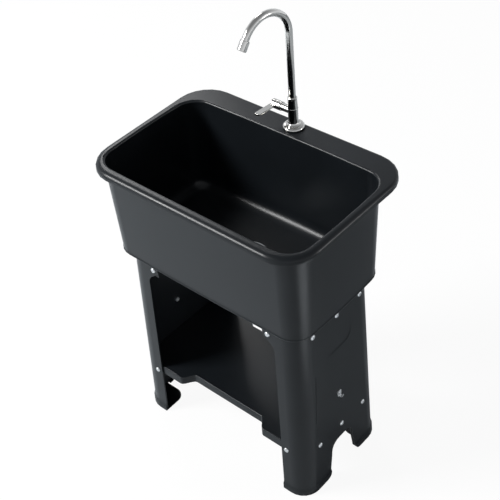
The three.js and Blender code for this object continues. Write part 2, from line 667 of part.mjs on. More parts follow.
// The shelf's outline at a height: four alike quarters with a tab each and a recess between.
function shelfOutline(z, inset) {
  const margin = PANEL_WALL + CLEARANCE + inset;
  const halfWidth = PANEL_TOP_HALF_WIDTH + panelLean(z);
  const halfDepth = PANEL_TOP_HALF_DEPTH + panelLean(z);
  const tab = halfDepth - margin;
  const recess = tab - SHELF_RECESS_DEPTH;
  const to = flangeEdge(SHELF_TOP) - SHELF_TAB_WIDTH + inset;
  const from = to - SHELF_BEND_WIDTH;
  const bend = [];
  for (let i = 0; i <= CORNER_STEPS; i++) {
    const t = i / CORNER_STEPS;
    const blend = (1 - Math.cos(Math.PI * t)) / 2;
    bend.push([THREE.MathUtils.lerp(from, to, t), THREE.MathUtils.lerp(recess, tab, blend)]);
  }
  const centre = [halfWidth - PANEL_CORNER_RADIUS, halfDepth - PANEL_CORNER_RADIUS];
  const corner = quarter(...centre, PANEL_CORNER_RADIUS - margin, 0).reverse();
  const quadrant = [[0, recess], ...bend, ...corner, [halfWidth - margin, 0]]; // front's middle to side's
  const backwards = [...quadrant].reverse();
  const points = [
    ...quadrant.map(([x, y]) => [x, -y]),
    ...backwards.slice(1),
    ...quadrant.slice(1).map(([x, y]) => [-x, y]),
    ...backwards.slice(1, -1).map(([x, y]) => [-x, -y]),
  ];
  return atHeight(points.map(([x, y]) => [x, TUB_CENTRE_Y + y]), z);
}

function makeShelf() {
  const bottom = SHELF_TOP - SHELF_LIP;
  const round = SHELF_WALL / 2;
  const block = loft([
    shelfOutline(bottom, 0),
    shelfOutline(SHELF_TOP - round, 0),
    shelfOutline(SHELF_TOP, round),
  ]);
  const hollow = loft([
    shelfOutline(bottom - 1, SHELF_WALL),
    shelfOutline(SHELF_TOP - SHELF_WALL, SHELF_WALL),
  ]);
  return cut(solid(block), solid(hollow), ...screwHoles("shelf"));
}

// ---------------------------------------------------------------- screws

// Where the right panel's screws go: the first row holds the tub, the second the shelf.
function screwPlaces() {
  const places = [];
  const rows = [
    { row: "upper", z: UPPER_SCREW_Z, holds: "tub", freeEdge: tabEdge() },
    { row: "lower", z: LOWER_SCREW_Z, holds: "shelf", freeEdge: flangeEdge(LOWER_SCREW_Z) },
  ];
  const pitch = PANEL_TOP_HALF_DEPTH - SIDE_SCREW_MARGIN;
  const alongSide = [["front", -pitch], ["middle", 0], ["rear", pitch]];
  for (const { row, z, holds, freeEdge } of rows) {
    const flangeX = freeEdge + FLANGE_SCREW_MARGIN;
    for (const [where, fromMiddle] of alongSide) {
      places.push({ name: `${row}_side_screw_${where}`, holds, ...onSide(TUB_CENTRE_Y + fromMiddle, z) });
    }
    places.push({ name: `${row}_flange_screw_front`, holds, ...onFlange(flangeX, z, -1) });
    places.push({ name: `${row}_flange_screw_rear`, holds, ...onFlange(flangeX, z, 1) });
  }
  return places;
}

// Turns and moves a geometry made along +Z so that it stands on a point along a direction.
function placedOn(geometry, { point, normal }) {
  const turn = new THREE.Quaternion().setFromUnitVectors(new THREE.Vector3(0, 0, 1), normal);
  return geometry.clone().applyQuaternion(turn).translate(point.x, point.y, point.z);
}

function mirroredPlace({ point, normal }) {
  const flip = (v) => new THREE.Vector3(-v.x, v.y, v.z);
  return { point: flip(point), normal: flip(normal) };
}

function hookPlace() {
  return onSide(TUB_CENTRE_Y - HOOK_FORWARD, HOOK_HEIGHT);
}

// The holes and seats that the screws need in one piece.
function screwHoles(piece) {
  const hole = rod(SCREW_SHANK_RADIUS + CLEARANCE, -2 * SCREW_LENGTH, SCREW_LENGTH, SMALL_STEPS);
  const seat = rod(SCREW_HEAD_RADIUS + 2 * CLEARANCE, -SCREW_SEAT_DEPTH, SCREW_LENGTH, SMALL_STEPS);
  const boltHole = rod(HOOK_SCREW_SHANK_RADIUS + CLEARANCE, -SCREW_LENGTH, SCREW_LENGTH, SMALL_STEPS);
  const places = screwPlaces();
  if (piece === "panel") {
    const tools = places.flatMap((place) => [placedOn(hole, place), placedOn(seat, place)]);
    return [...tools, placedOn(boltHole, hookPlace())].map(solid);
  }
  const held = places.filter((place) => place.holds === piece);
  return held.flatMap((place) => [place, mirroredPlace(place)]).map((place) => solid(placedOn(hole, place)));
}

// A pan-head screw with its seat at z = 0 and its head above.
function screwGeometry(headRadius, headHeight, shankRadius, length, seat) {
  return turned([
    [0, seat - length],
    [shankRadius, seat - length + shankRadius],
    [shankRadius, seat],
    [headRadius, seat],
    [headRadius, seat + headHeight * 0.35],
    [headRadius * 0.75, seat + headHeight * 0.85],
    [0, seat + headHeight],
  ], SMALL_STEPS);
}

// ---------------------------------------------------------------- side hooks

// The hook's plate lies on z = 0 and faces +Z; the prong stands out below and turns up along +Y.
function makeHook() {
  const half = HOOK_PLATE_WIDTH / 2;
  const low = -HOOK_PLATE_BELOW;
  const high = HOOK_PLATE_ABOVE;
  const corner = HOOK_PLATE_CORNER;
  const shape = new THREE.Shape();
  shape.moveTo(-half + corner, low);
  shape.lineTo(half - corner, low);
  shape.quadraticCurveTo(half, low, half, low + corner);
  shape.lineTo(half, high - corner);
  shape.quadraticCurveTo(half, high, half - corner, high);
  shape.lineTo(-half + corner, high);
  shape.quadraticCurveTo(-half, high, -half, high - corner);
  shape.lineTo(-half, low + corner);
  shape.quadraticCurveTo(-half, low, -half + corner, low);
  const plate = new THREE.ExtrudeGeometry(shape, {
    depth: HOOK_PLATE_THICKNESS,
    bevelEnabled: false,
    curveSegments: 3,
  });
  plate.translate(0, 0, CLEARANCE);
  const face = CLEARANCE + HOOK_PLATE_THICKNESS;
  const tip = face + HOOK_REACH;
  const bend = 2 * HOOK_PRONG_THICKNESS;
  const side = new THREE.Shape(); // in (distance from the panel, height)
  side.moveTo(face - 1, low);
  side.lineTo(tip - bend, low);
  side.quadraticCurveTo(tip, low, tip, low + bend);
  side.lineTo(tip, low + HOOK_PRONG_RISE);
  side.lineTo(tip - HOOK_PRONG_THICKNESS, low + HOOK_PRONG_RISE);
  side.lineTo(tip - HOOK_PRONG_THICKNESS, low + bend);
  side.quadraticCurveTo(tip - HOOK_PRONG_THICKNESS, low + HOOK_PRONG_THICKNESS,
    tip - bend, low + HOOK_PRONG_THICKNESS);
  side.lineTo(face - 1, low + HOOK_PRONG_THICKNESS);
  side.closePath();
  const prong = new THREE.ExtrudeGeometry(side, {
    depth: HOOK_PRONG_WIDTH,
    bevelEnabled: false,
    curveSegments: 5,
  });
  prong.translate(0, 0, -HOOK_PRONG_WIDTH / 2).rotateY(-Math.PI / 2);
  const hole = rod(HOOK_SCREW_SHANK_RADIUS + CLEARANCE, -1, tip, SMALL_STEPS);
  return geometryOf(cut(join(solid(plate), solid(prong)), solid(hole)));
}

// Sets a geometry that faces +Z on the side of the panel, with its own +Y upwards.
function uprightOnSide(geometry) {
  const { point, normal } = hookPlace();
  const across = new THREE.Vector3(0, 1, 0);
  const up = normal.clone().cross(across);
  const basis = new THREE.Matrix4().makeBasis(across, up, normal);
  return geometry.applyMatrix4(basis).translate(point.x, point.y, point.z);
}

// ---------------------------------------------------------------- tap

const DECK_STACK = {
  gasketTop: CLEARANCE + DECK_GASKET_THICKNESS,
  flangeBottom: 2 * CLEARANCE + DECK_GASKET_THICKNESS,
};
DECK_STACK.flangeTop = DECK_STACK.flangeBottom + FLANGE_HEIGHT;
DECK_STACK.bodyBottom = DECK_STACK.flangeTop + CLEARANCE;

function makeDeckGasket() {
  return ring(DECK_GASKET_RADIUS, SHANK_RADIUS + CLEARANCE, CLEARANCE, DECK_STACK.gasketTop);
}

function makeTapFlange() {
  const low = DECK_STACK.flangeBottom;
  const high = DECK_STACK.flangeTop;
  return turned([
    [SHANK_RADIUS + CLEARANCE, low],
    [FLANGE_RADIUS, low],
    [FLANGE_RADIUS, low + FLANGE_HEIGHT * 0.4],
    [FLANGE_RADIUS - 1.4, low + FLANGE_HEIGHT * 0.75],
    [FLANGE_RADIUS - 4, high - 0.6],
    [BODY_FOOT_RADIUS + 1, high],
    [SHANK_RADIUS + CLEARANCE, high],
  ]);
}

function makeTapBody() {
  const low = DECK_STACK.bodyBottom;
  const flareTop = low + BODY_FOOT_FLARE;
  const socketTop = low + SHANK_SOCKET_DEPTH;
  const spoutSeat = BODY_TOP - SPOUT_SOCKET_DEPTH - SPOUT_SEAL_THICKNESS - 2 * CLEARANCE;
  const ringLow = BODY_RING_HEIGHT - BODY_RING_PROUD;
  const ringHigh = BODY_RING_HEIGHT + BODY_RING_PROUD;
  const barrel = solid(turned([
    [0, low],
    [BODY_FOOT_RADIUS, low],
    [BODY_FOOT_RADIUS, low + 1],
    [BODY_RADIUS + 1.8, low + BODY_FOOT_FLARE * 0.45],
    [BODY_RADIUS, flareTop],
    [BODY_RADIUS, ringLow - BODY_RING_PROUD],
    [BODY_RADIUS + BODY_RING_PROUD, ringLow],
    [BODY_RADIUS + BODY_RING_PROUD, ringHigh],
    [BODY_RADIUS, ringHigh + BODY_RING_PROUD],
    [BODY_TOP_RADIUS, BODY_TOP],
    [0, BODY_TOP],
  ]));
  const neck = solid(alongValve(rod(NECK_RADIUS, 0, NECK_REACH)));
  const bores = [
    rod(SHANK_RADIUS + CLEARANCE, low - 1, socketTop),
    rod(WATERWAY_RADIUS, low, BODY_TOP),
    rod(SPOUT_RADIUS + CLEARANCE, spoutSeat, BODY_TOP + 1),
    alongValve(rod(CARTRIDGE_RADIUS + CLEARANCE, NECK_REACH - CARTRIDGE_LENGTH - CLEARANCE, NECK_REACH + 1)),
    alongValve(rod(WATERWAY_RADIUS / 2, 0, NECK_REACH)),
  ];
  return cut(join(barrel, neck), ...bores.map(solid));
}

// Lays a geometry made along +Z along the valve's axis, which runs to -X.
function alongValve(geometry) {
  return geometry.rotateY(-Math.PI / 2).translate(0, 0, VALVE_HEIGHT);
}

function makeShank() {
  const top = DECK_STACK.bodyBottom + SHANK_SOCKET_DEPTH - CLEARANCE;
  return ring(SHANK_RADIUS, WATERWAY_RADIUS, -SHANK_DROP, top);
}

function makeShankWasher() {
  const top = -TUB_WALL - CLEARANCE;
  return ring(SHANK_WASHER_RADIUS, SHANK_RADIUS + CLEARANCE, top - SHANK_WASHER_THICKNESS, top);
}

function makeShankNut() {
  const top = -TUB_WALL - 2 * CLEARANCE - SHANK_WASHER_THICKNESS;
  return hexNut(SHANK_NUT_RADIUS, SHANK_RADIUS + CLEARANCE, top - SHANK_NUT_HEIGHT, top);
}

function makeRetainingNut() {
  const low = BODY_TOP + CLEARANCE;
  const high = low + RETAINING_NUT_HEIGHT;
  return turned([
    [SPOUT_RADIUS + CLEARANCE, low],
    [RETAINING_NUT_RADIUS - 0.8, low],
    [RETAINING_NUT_RADIUS, low + 1],
    [RETAINING_NUT_RADIUS, high - 2],
    [SPOUT_RADIUS + 1, high],
    [SPOUT_RADIUS + CLEARANCE, high],
  ]);
}

function makeSpoutSeal() {
  const high = BODY_TOP - SPOUT_SOCKET_DEPTH - CLEARANCE;
  return ring(SPOUT_RADIUS, SPOUT_BORE_RADIUS, high - SPOUT_SEAL_THICKNESS, high);
}

function makeCartridge() {
  const inner = NECK_REACH - CARTRIDGE_LENGTH;
  const pocket = NECK_REACH - STEM_IN_CARTRIDGE - CLEARANCE;
  return alongValve(turned([
    [0, inner],
    [CARTRIDGE_RADIUS, inner],
    [CARTRIDGE_RADIUS, NECK_REACH],
    [STEM_RADIUS + CLEARANCE, NECK_REACH],
    [STEM_RADIUS + CLEARANCE, pocket],
    [0, pocket],
  ]));
}

function makeStem() {
  const inner = NECK_REACH - STEM_IN_CARTRIDGE;
  return alongValve(rod(STEM_RADIUS, inner, NECK_REACH + KNOB_GAP + STEM_IN_KNOB, SMALL_STEPS));
}

function grubScrewPlace() {
  return NECK_REACH + KNOB_GAP + GRUB_SCREW_FROM_KNOB_END;
}

// The knob and its flat lever, made about the valve's axis and then laid along it.
function makeLever() {
  const start = NECK_REACH + KNOB_GAP;
  const end = start + KNOB_LENGTH;
  const knob = solid(alongValve(turned([
    [0, start],
    [KNOB_RADIUS - KNOB_ROUND / 2, start],
    [KNOB_RADIUS, start + KNOB_ROUND / 2],
    [KNOB_RADIUS, end - KNOB_ROUND],
    [KNOB_RADIUS - KNOB_ROUND, end],
    [0, end],
  ])));
  const half = LEVER_WIDTH / 2;
  const round = LEVER_TIP_RADIUS;
  const shape = new THREE.Shape();
  shape.moveTo(-half, -KNOB_RADIUS / 2);
  shape.lineTo(-half, -LEVER_REACH + round);
  shape.quadraticCurveTo(-half, -LEVER_REACH, -half + round, -LEVER_REACH);
  shape.lineTo(half - round, -LEVER_REACH);
  shape.quadraticCurveTo(half, -LEVER_REACH, half, -LEVER_REACH + round);
  shape.lineTo(half, -KNOB_RADIUS / 2);
  shape.closePath();
  const blade = new THREE.ExtrudeGeometry(shape, {
    depth: LEVER_THICKNESS,
    bevelEnabled: false,
    curveSegments: 4,
  });
  blade.translate(0, 0, -LEVER_THICKNESS / 2).rotateX(-LEVER_TILT);
  blade.translate(-end + half, 0, VALVE_HEIGHT);
  const socketEnd = start + STEM_IN_KNOB + CLEARANCE;
  const socket = alongValve(rod(STEM_RADIUS + CLEARANCE, start - 1, socketEnd, SMALL_STEPS));
  const below = VALVE_HEIGHT - 2 * KNOB_RADIUS;
  const tapping = rod(GRUB_SCREW_RADIUS + CLEARANCE, below, VALVE_HEIGHT, SMALL_STEPS);
  tapping.translate(-grubScrewPlace(), 0, 0);
  return cut(join(knob, solid(blade)), solid(socket), solid(tapping));
}

function makeGrubScrew() {
  const low = VALVE_HEIGHT - KNOB_RADIUS + GRUB_SCREW_RECESS;
  const high = VALVE_HEIGHT - STEM_RADIUS - CLEARANCE;
  return rod(GRUB_SCREW_RADIUS, low, high, SMALL_STEPS).translate(-grubScrewPlace(), 0, 0);
}

function makeSpout() {
  const low = BODY_TOP - SPOUT_SOCKET_DEPTH;
  const points = [new THREE.Vector3(0, 0, low)];
  for (let i = 0; i <= SPOUT_BEND_STEPS; i++) {
    const angle = (SPOUT_SWEEP * i) / SPOUT_BEND_STEPS;
    const y = -SPOUT_BEND_RADIUS * (1 - Math.cos(angle));
    points.push(new THREE.Vector3(0, y, SPOUT_BEND_CENTRE + SPOUT_BEND_RADIUS * Math.sin(angle)));
  }
  points.push(spoutTip(SPOUT_STUB + AERATOR_SOCKET));
  return sweptTube(points, SPOUT_RADIUS, SPOUT_BORE_RADIUS);
}

// A point on the spout's centre line beyond the end of its bend.
function spoutTip(distance) {
  const y = -SPOUT_BEND_RADIUS * (1 - Math.cos(SPOUT_SWEEP)) - distance * Math.sin(SPOUT_SWEEP);
  const z = SPOUT_BEND_CENTRE + SPOUT_BEND_RADIUS * Math.sin(SPOUT_SWEEP) + distance * Math.cos(SPOUT_SWEEP);
  return new THREE.Vector3(0, y, z);
}

// A tube whose centre line runs through points in the YZ plane.
function sweptTube(points, outer, inner) {
  const skin = (radius) => points.map((point, k) => {
    const before = points[Math.max(k - 1, 0)];
    const after = points[Math.min(k + 1, points.length - 1)];
    const along = after.clone().sub(before).normalize();
    const out = new THREE.Vector3(0, -along.z, along.y);
    return Array.from({ length: SPOUT_STEPS }, (_, i) => {
      const angle = (2 * Math.PI * i) / SPOUT_STEPS;
      return point.clone()
        .addScaledVector(new THREE.Vector3(1, 0, 0), radius * Math.cos(angle))
        .addScaledVector(out, -radius * Math.sin(angle));
    });
  });
  const outside = skin(outer);
  const inside = skin(inner);
  const rows = [...outside, ...inside.reverse()];
  const positions = rows.flat().flatMap((point) => [point.x, point.y, point.z]);
  const index = [];
  for (let k = 0; k < rows.length; k++) {
    const next = (k + 1) % rows.length;
    for (let i = 0; i < SPOUT_STEPS; i++) {
      const j = (i + 1) % SPOUT_STEPS;
      const [here, ahead] = [k * SPOUT_STEPS, next * SPOUT_STEPS];
      index.push(here + i, here + j, ahead + j, here + i, ahead + j, ahead + i);
    }
  }
  const geometry = new THREE.BufferGeometry();
  geometry.setAttribute("position", new THREE.Float32BufferAttribute(positions, 3));
  geometry.setIndex(index);
  return geometry;
}

// Lays a geometry made along +Z on the spout's end, with z = 0 where the aerator starts.
function atSpoutEnd(geometry) {
  const tip = spoutTip(SPOUT_STUB);
  return geometry.rotateX(SPOUT_SWEEP).translate(tip.x, tip.y, tip.z);
}

function makeAerator() {
  const outlet = AERATOR_RADIUS - AERATOR_WALL;
  const shoulder = AERATOR_SOCKET + CLEARANCE;
  return atSpoutEnd(turned([
    [SPOUT_RADIUS + CLEARANCE, 0],
    [AERATOR_RADIUS - 0.6, 0],
    [AERATOR_RADIUS, 1],
    [AERATOR_RADIUS, AERATOR_LENGTH - 1],
    [AERATOR_RADIUS - 0.6, AERATOR_LENGTH],
    [outlet, AERATOR_LENGTH],
    [outlet, shoulder + AERATOR_WALL],
    [SPOUT_BORE_RADIUS, shoulder + AERATOR_WALL],
    [SPOUT_BORE_RADIUS, shoulder],
    [SPOUT_RADIUS + CLEARANCE, shoulder],
  ]));
}

function makeAeratorScreen() {
  const high = AERATOR_LENGTH - SCREEN_RECESS;
  const disc = solid(rod(AERATOR_RADIUS - AERATOR_WALL - CLEARANCE, high - SCREEN_THICKNESS, high));
  const hole = rod(1, high - SCREEN_THICKNESS - 1, high + 1, 6);
  const tools = [solid(hole)];
  for (const [circle, count] of [[3.2, 6], [6.2, 12]]) {
    for (let i = 0; i < count; i++) {
      const angle = (2 * Math.PI * i) / count;
      tools.push(solid(moved(hole, circle * Math.cos(angle), circle * Math.sin(angle), 0)));
    }
  }
  return atSpoutEnd(geometryOf(cut(disc, ...tools)));
}

// ---------------------------------------------------------------- drain

// Heights here are below the drain flange's upper face, which is level with the basin floor.
const STRAINER_FLOOR = -DRAIN_FLANGE_THICKNESS - STRAINER_DEPTH;
const SPIGOT_END = STRAINER_FLOOR - STRAINER_SPIGOT_LENGTH;
const BOSS_UNDERSIDE = -TUB_FLOOR_THICKNESS - DRAIN_BOSS_DROP;

function makeStrainerBody() {
  const seat = -DRAIN_FLANGE_THICKNESS + CLEARANCE;
  const floorTop = STRAINER_FLOOR + STRAINER_WALL;
  const cup = STRAINER_RADIUS - STRAINER_WALL;
  return turned([
    [STRAINER_OUTLET_RADIUS, SPIGOT_END],
    [STRAINER_SPIGOT_RADIUS, SPIGOT_END],
    [STRAINER_SPIGOT_RADIUS, STRAINER_FLOOR],
    [STRAINER_RADIUS, STRAINER_FLOOR],
    [STRAINER_RADIUS, seat],
    [DRAIN_FLANGE_RADIUS, seat],
    [DRAIN_FLANGE_RADIUS, -0.8],
    [DRAIN_FLANGE_RADIUS - 2, 0],
    [cup + 2, -0.4],
    [cup, -2],
    [cup, floorTop],
    [STRAINER_OUTLET_RADIUS, floorTop],
  ], DRAIN_STEPS);
}

function makeDrainGasket() {
  const top = BOSS_UNDERSIDE - CLEARANCE;
  return ring(DRAIN_SEAL_RADIUS, STRAINER_RADIUS + CLEARANCE, top - DRAIN_GASKET_THICKNESS, top, DRAIN_STEPS);
}

function makeFrictionRing() {
  const top = BOSS_UNDERSIDE - 2 * CLEARANCE - DRAIN_GASKET_THICKNESS;
  const low = top - FRICTION_RING_THICKNESS;
  return ring(DRAIN_SEAL_RADIUS, STRAINER_RADIUS + CLEARANCE, low, top, DRAIN_STEPS);
}

// The locknut has lugs that a wrench or a punch turns it by.
function makeLocknut() {
  const top = BOSS_UNDERSIDE - 3 * CLEARANCE - DRAIN_GASKET_THICKNESS - FRICTION_RING_THICKNESS;
  const low = top - LOCKNUT_HEIGHT;
  const hubRadius = LOCKNUT_RADIUS - 0.6 * LOCKNUT_LUG;
  const hub = solid(ring(hubRadius, STRAINER_RADIUS + CLEARANCE, low, top, DRAIN_STEPS));
  const lugs = [];
  for (let i = 0; i < LOCKNUT_LUG_COUNT; i++) {
    const lug = new THREE.BoxGeometry(LOCKNUT_LUG, LOCKNUT_LUG_WIDTH, LOCKNUT_HEIGHT);
    lug.translate(LOCKNUT_RADIUS - LOCKNUT_LUG / 2, 0, (low + top) / 2);
    lugs.push(solid(lug.rotateZ((2 * Math.PI * i) / LOCKNUT_LUG_COUNT)));
  }
  return join(hub, ...lugs);
}

function makeBasket() {
  const rim = -BASKET_WALL - BASKET_RIM_DROP;
  const floor = rim - BASKET_DEPTH;
  const rimRadius = STRAINER_RADIUS - STRAINER_WALL - CLEARANCE;
  const cup = solid(turned([
    [0, floor],
    [BASKET_CUP_RADIUS - 3, floor],
    [BASKET_CUP_RADIUS, floor + 3],
    [BASKET_CUP_RADIUS, rim - BASKET_WALL],
    [rimRadius, rim - BASKET_WALL],
    [rimRadius, rim],
    [BASKET_CUP_RADIUS - BASKET_WALL, rim],
    [BASKET_CUP_RADIUS - BASKET_WALL, floor + 3],
    [BASKET_CUP_RADIUS - 3 - BASKET_WALL, floor + BASKET_WALL],
    [BASKET_POST_RADIUS, floor + BASKET_WALL],
    [BASKET_POST_RADIUS, -BASKET_KNOB_DROP - 6],
    [BASKET_KNOB_RADIUS, -BASKET_KNOB_DROP - 4],
    [BASKET_KNOB_RADIUS, -BASKET_KNOB_DROP - 1.5],
    [0, -BASKET_KNOB_DROP],
  ], DRAIN_STEPS));
  const hole = rod(BASKET_HOLE_RADIUS, floor - 1, floor + BASKET_WALL + 1, 8);
  const tools = [];
  for (let i = 0; i < BASKET_HOLE_COUNT; i++) {
    const angle = (2 * Math.PI * i) / BASKET_HOLE_COUNT;
    const x = BASKET_HOLE_CIRCLE * Math.cos(angle);
    const y = BASKET_HOLE_CIRCLE * Math.sin(angle);
    tools.push(solid(moved(hole, x, y, 0)));
  }
  return cut(cup, ...tools);
}

// The rubber stopper under the basket; it closes the outlet when the basket is turned down.
function makeStopper() {
  const top = -BASKET_WALL - BASKET_RIM_DROP - BASKET_DEPTH - CLEARANCE;
  const low = STRAINER_FLOOR + STRAINER_WALL + CLEARANCE;
  return turned([
    [0, low],
    [STOPPER_RADIUS - 2, low],
    [STOPPER_RADIUS, low + STOPPER_THICKNESS / 2],
    [STOPPER_RADIUS - 2, low + STOPPER_THICKNESS],
    [STOPPER_STUD_RADIUS, low + STOPPER_THICKNESS],
    [STOPPER_STUD_RADIUS, top],
    [0, top],
  ], DRAIN_STEPS);
}

function makeTailpiece() {
  const top = SPIGOT_END - CLEARANCE;
  const bore = TAILPIECE_RADIUS - TAILPIECE_WALL;
  const underFlange = top - TAILPIECE_FLANGE_THICKNESS;
  return turned([
    [bore, top - TAILPIECE_LENGTH],
    [TAILPIECE_RADIUS, top - TAILPIECE_LENGTH],
    [TAILPIECE_RADIUS, underFlange],
    [TAILPIECE_FLANGE_RADIUS, underFlange],
    [TAILPIECE_FLANGE_RADIUS, top],
    [bore, top],
  ], DRAIN_STEPS);
}

function makeSlipNut() {
  const top = SPIGOT_END + SLIP_NUT_OVERLAP;
  const shoulder = SPIGOT_END - 2 * CLEARANCE - TAILPIECE_FLANGE_THICKNESS;
  const low = shoulder - SLIP_NUT_FLOOR;
  const bore = STRAINER_SPIGOT_RADIUS + CLEARANCE;
  const outer = bore + SLIP_NUT_WALL;
  const blank = solid(turned([
    [TAILPIECE_RADIUS + CLEARANCE, low],
    [outer - 1, low],
    [outer, low + 1],
    [outer, top],
    [bore, top],
    [bore, shoulder],
    [TAILPIECE_RADIUS + CLEARANCE, shoulder],
  ], DRAIN_STEPS));
  const ribs = [];
  for (let i = 0; i < SLIP_NUT_RIB_COUNT; i++) {
    const rib = new THREE.BoxGeometry(2 * SLIP_NUT_RIB, SLIP_NUT_RIB_WIDTH, top - low - 2);
    rib.translate(outer, 0, (top + low) / 2);
    ribs.push(solid(rib.rotateZ((2 * Math.PI * i) / SLIP_NUT_RIB_COUNT)));
  }
  return join(blank, ...ribs);
}

// ---------------------------------------------------------------- the whole sink

// A named mesh from a geometry or a solid.
function piece(name, shape, finish) {
  const body = shape.isBufferGeometry ? solid(shape) : shape;
  const mesh = new THREE.Mesh(geometryOf(body), new THREE.MeshStandardMaterial(FINISHES[finish]));
  mesh.name = name;
  return mesh;
}

function makeCabinet() {
  const cabinet = new THREE.Group();
  const panel = makePanel();
  cabinet.add(piece("tub", makeTub(), "polypropylene"));
  cabinet.add(piece("shelf", makeShelf(), "polypropylene"));
  for (const [side, sign] of [["right", 1], ["left", -1]]) {
    const end = new THREE.Group();
    end.scale.x = sign;
    end.add(piece(`${side}_leg_panel`, panel, "polypropylene"));
    addScrews(end, side);
    addHook(end, side);
    cabinet.add(end);
  }
  return cabinet;
}

function addScrews(group, side) {
  const seat = CLEARANCE - SCREW_SEAT_DEPTH;
  const screw = screwGeometry(SCREW_HEAD_RADIUS, SCREW_HEAD_HEIGHT, SCREW_SHANK_RADIUS, SCREW_LENGTH, seat);
  for (const place of screwPlaces()) {
    group.add(piece(`${side}_${place.name}`, placedOn(screw, place), "zinc"));
  }
}

function addHook(group, side) {
  const seat = 2 * CLEARANCE + HOOK_PLATE_THICKNESS;
  const inside = -PANEL_WALL - CLEARANCE;
  const bolt = screwGeometry(
    HOOK_SCREW_HEAD_RADIUS,
    HOOK_SCREW_HEAD_HEIGHT,
    HOOK_SCREW_SHANK_RADIUS,
    HOOK_SCREW_LENGTH,
    seat,
  );
  const nut = hexNut(HOOK_NUT_RADIUS, HOOK_SCREW_SHANK_RADIUS + CLEARANCE, inside - HOOK_NUT_HEIGHT, inside);
  group.add(piece(`${side}_hook`, uprightOnSide(makeHook()), "zinc"));
  group.add(piece(`${side}_hook_bolt`, placedOn(bolt, hookPlace()), "zinc"));
  group.add(piece(`${side}_hook_nut`, placedOn(geometryOf(nut), hookPlace()), "zinc"));
}

function makeTap() {
  const tap = new THREE.Group();
  tap.position.set(0, TAP_Y, RIM_HEIGHT);
  tap.add(piece("deck_gasket", makeDeckGasket(), "rubber"));
  tap.add(piece("tap_flange", makeTapFlange(), "chrome"));
  tap.add(piece("tap_body", makeTapBody(), "chrome"));
  tap.add(piece("threaded_shank", makeShank(), "brass"));
  tap.add(piece("shank_washer", makeShankWasher(), "steel"));
  tap.add(piece("shank_nut", makeShankNut(), "brass"));
  tap.add(piece("spout_retaining_nut", makeRetainingNut(), "chrome"));
  tap.add(piece("spout_seal", makeSpoutSeal(), "rubber"));
  tap.add(piece("valve_cartridge", makeCartridge(), "brass"));
  tap.add(piece("valve_stem", makeStem(), "brass"));
  tap.add(piece("lever_handle", makeLever(), "chrome"));
  tap.add(piece("handle_grub_screw", makeGrubScrew(), "steel"));
  const swivel = new THREE.Group();
  swivel.rotation.z = SPOUT_SWING;
  swivel.add(piece("spout", makeSpout(), "chrome"));
  swivel.add(piece("aerator_housing", makeAerator(), "chrome"));
  swivel.add(piece("aerator_screen", makeAeratorScreen(), "white_plastic"));
  tap.add(swivel);
  return tap;
}

function makeDrain() {
  const drain = new THREE.Group();
  drain.position.set(0, TUB_CENTRE_Y, DRAIN_LEVEL);
  drain.add(piece("strainer_body", makeStrainerBody(), "steel"));
  drain.add(piece("drain_gasket", makeDrainGasket(), "rubber"));
  drain.add(piece("friction_ring", makeFrictionRing(), "fibre"));
  drain.add(piece("drain_locknut", makeLocknut(), "zinc"));
  drain.add(piece("strainer_basket", makeBasket(), "steel"));
  drain.add(piece("basket_stopper", makeStopper(), "rubber"));
  drain.add(piece("tailpiece", makeTailpiece(), "chrome"));
  drain.add(piece("slip_nut", makeSlipNut(), "zinc"));
  return drain;
}

const sink = new THREE.Group();
sink.add(makeCabinet(), makeTap(), makeDrain());

export default sink;
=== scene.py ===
"""A free-standing laundry sink: moulded tub, end panels, shelf, high-arc tap and basket strainer."""

import json
import math

import bpy
from bpy.props import FloatProperty, FloatVectorProperty, PointerProperty, StringProperty
from mathutils import Matrix, Vector

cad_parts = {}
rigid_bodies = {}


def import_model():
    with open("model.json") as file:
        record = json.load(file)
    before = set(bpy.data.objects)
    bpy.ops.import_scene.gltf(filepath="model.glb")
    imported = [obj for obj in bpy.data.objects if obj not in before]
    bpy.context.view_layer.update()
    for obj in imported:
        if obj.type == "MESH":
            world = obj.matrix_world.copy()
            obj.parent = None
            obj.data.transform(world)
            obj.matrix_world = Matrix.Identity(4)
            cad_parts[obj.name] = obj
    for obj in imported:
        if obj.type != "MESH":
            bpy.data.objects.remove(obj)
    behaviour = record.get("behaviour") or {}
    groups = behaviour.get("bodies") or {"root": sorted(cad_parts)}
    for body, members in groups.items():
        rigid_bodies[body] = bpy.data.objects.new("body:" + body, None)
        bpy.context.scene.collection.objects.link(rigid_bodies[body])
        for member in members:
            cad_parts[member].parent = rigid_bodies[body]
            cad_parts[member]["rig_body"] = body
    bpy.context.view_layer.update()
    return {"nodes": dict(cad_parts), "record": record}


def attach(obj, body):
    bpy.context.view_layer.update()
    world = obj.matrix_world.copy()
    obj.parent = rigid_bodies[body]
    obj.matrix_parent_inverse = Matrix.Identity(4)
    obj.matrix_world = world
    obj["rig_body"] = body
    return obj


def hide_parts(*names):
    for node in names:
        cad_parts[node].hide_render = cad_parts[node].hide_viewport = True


bl_info = {
    "name": "Laundry Sink",
    "version": (1, 0, 0),
    "blender": (4, 5, 0),
    "location": "3D View > Sidebar > Laundry Sink",
    "description": "Builds a moulded laundry sink with its tap and drain on a packed frame",
    "category": "Object",
}

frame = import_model()

MM = 0.001
SIDES = ("right", "left")
SCREW_PLACES = tuple(
    f"{row}_{place}"
    for row in ("upper", "lower")
    for place in (
        "side_screw_front",
        "side_screw_middle",
        "side_screw_rear",
        "flange_screw_front",
        "flange_screw_rear",
    )
)

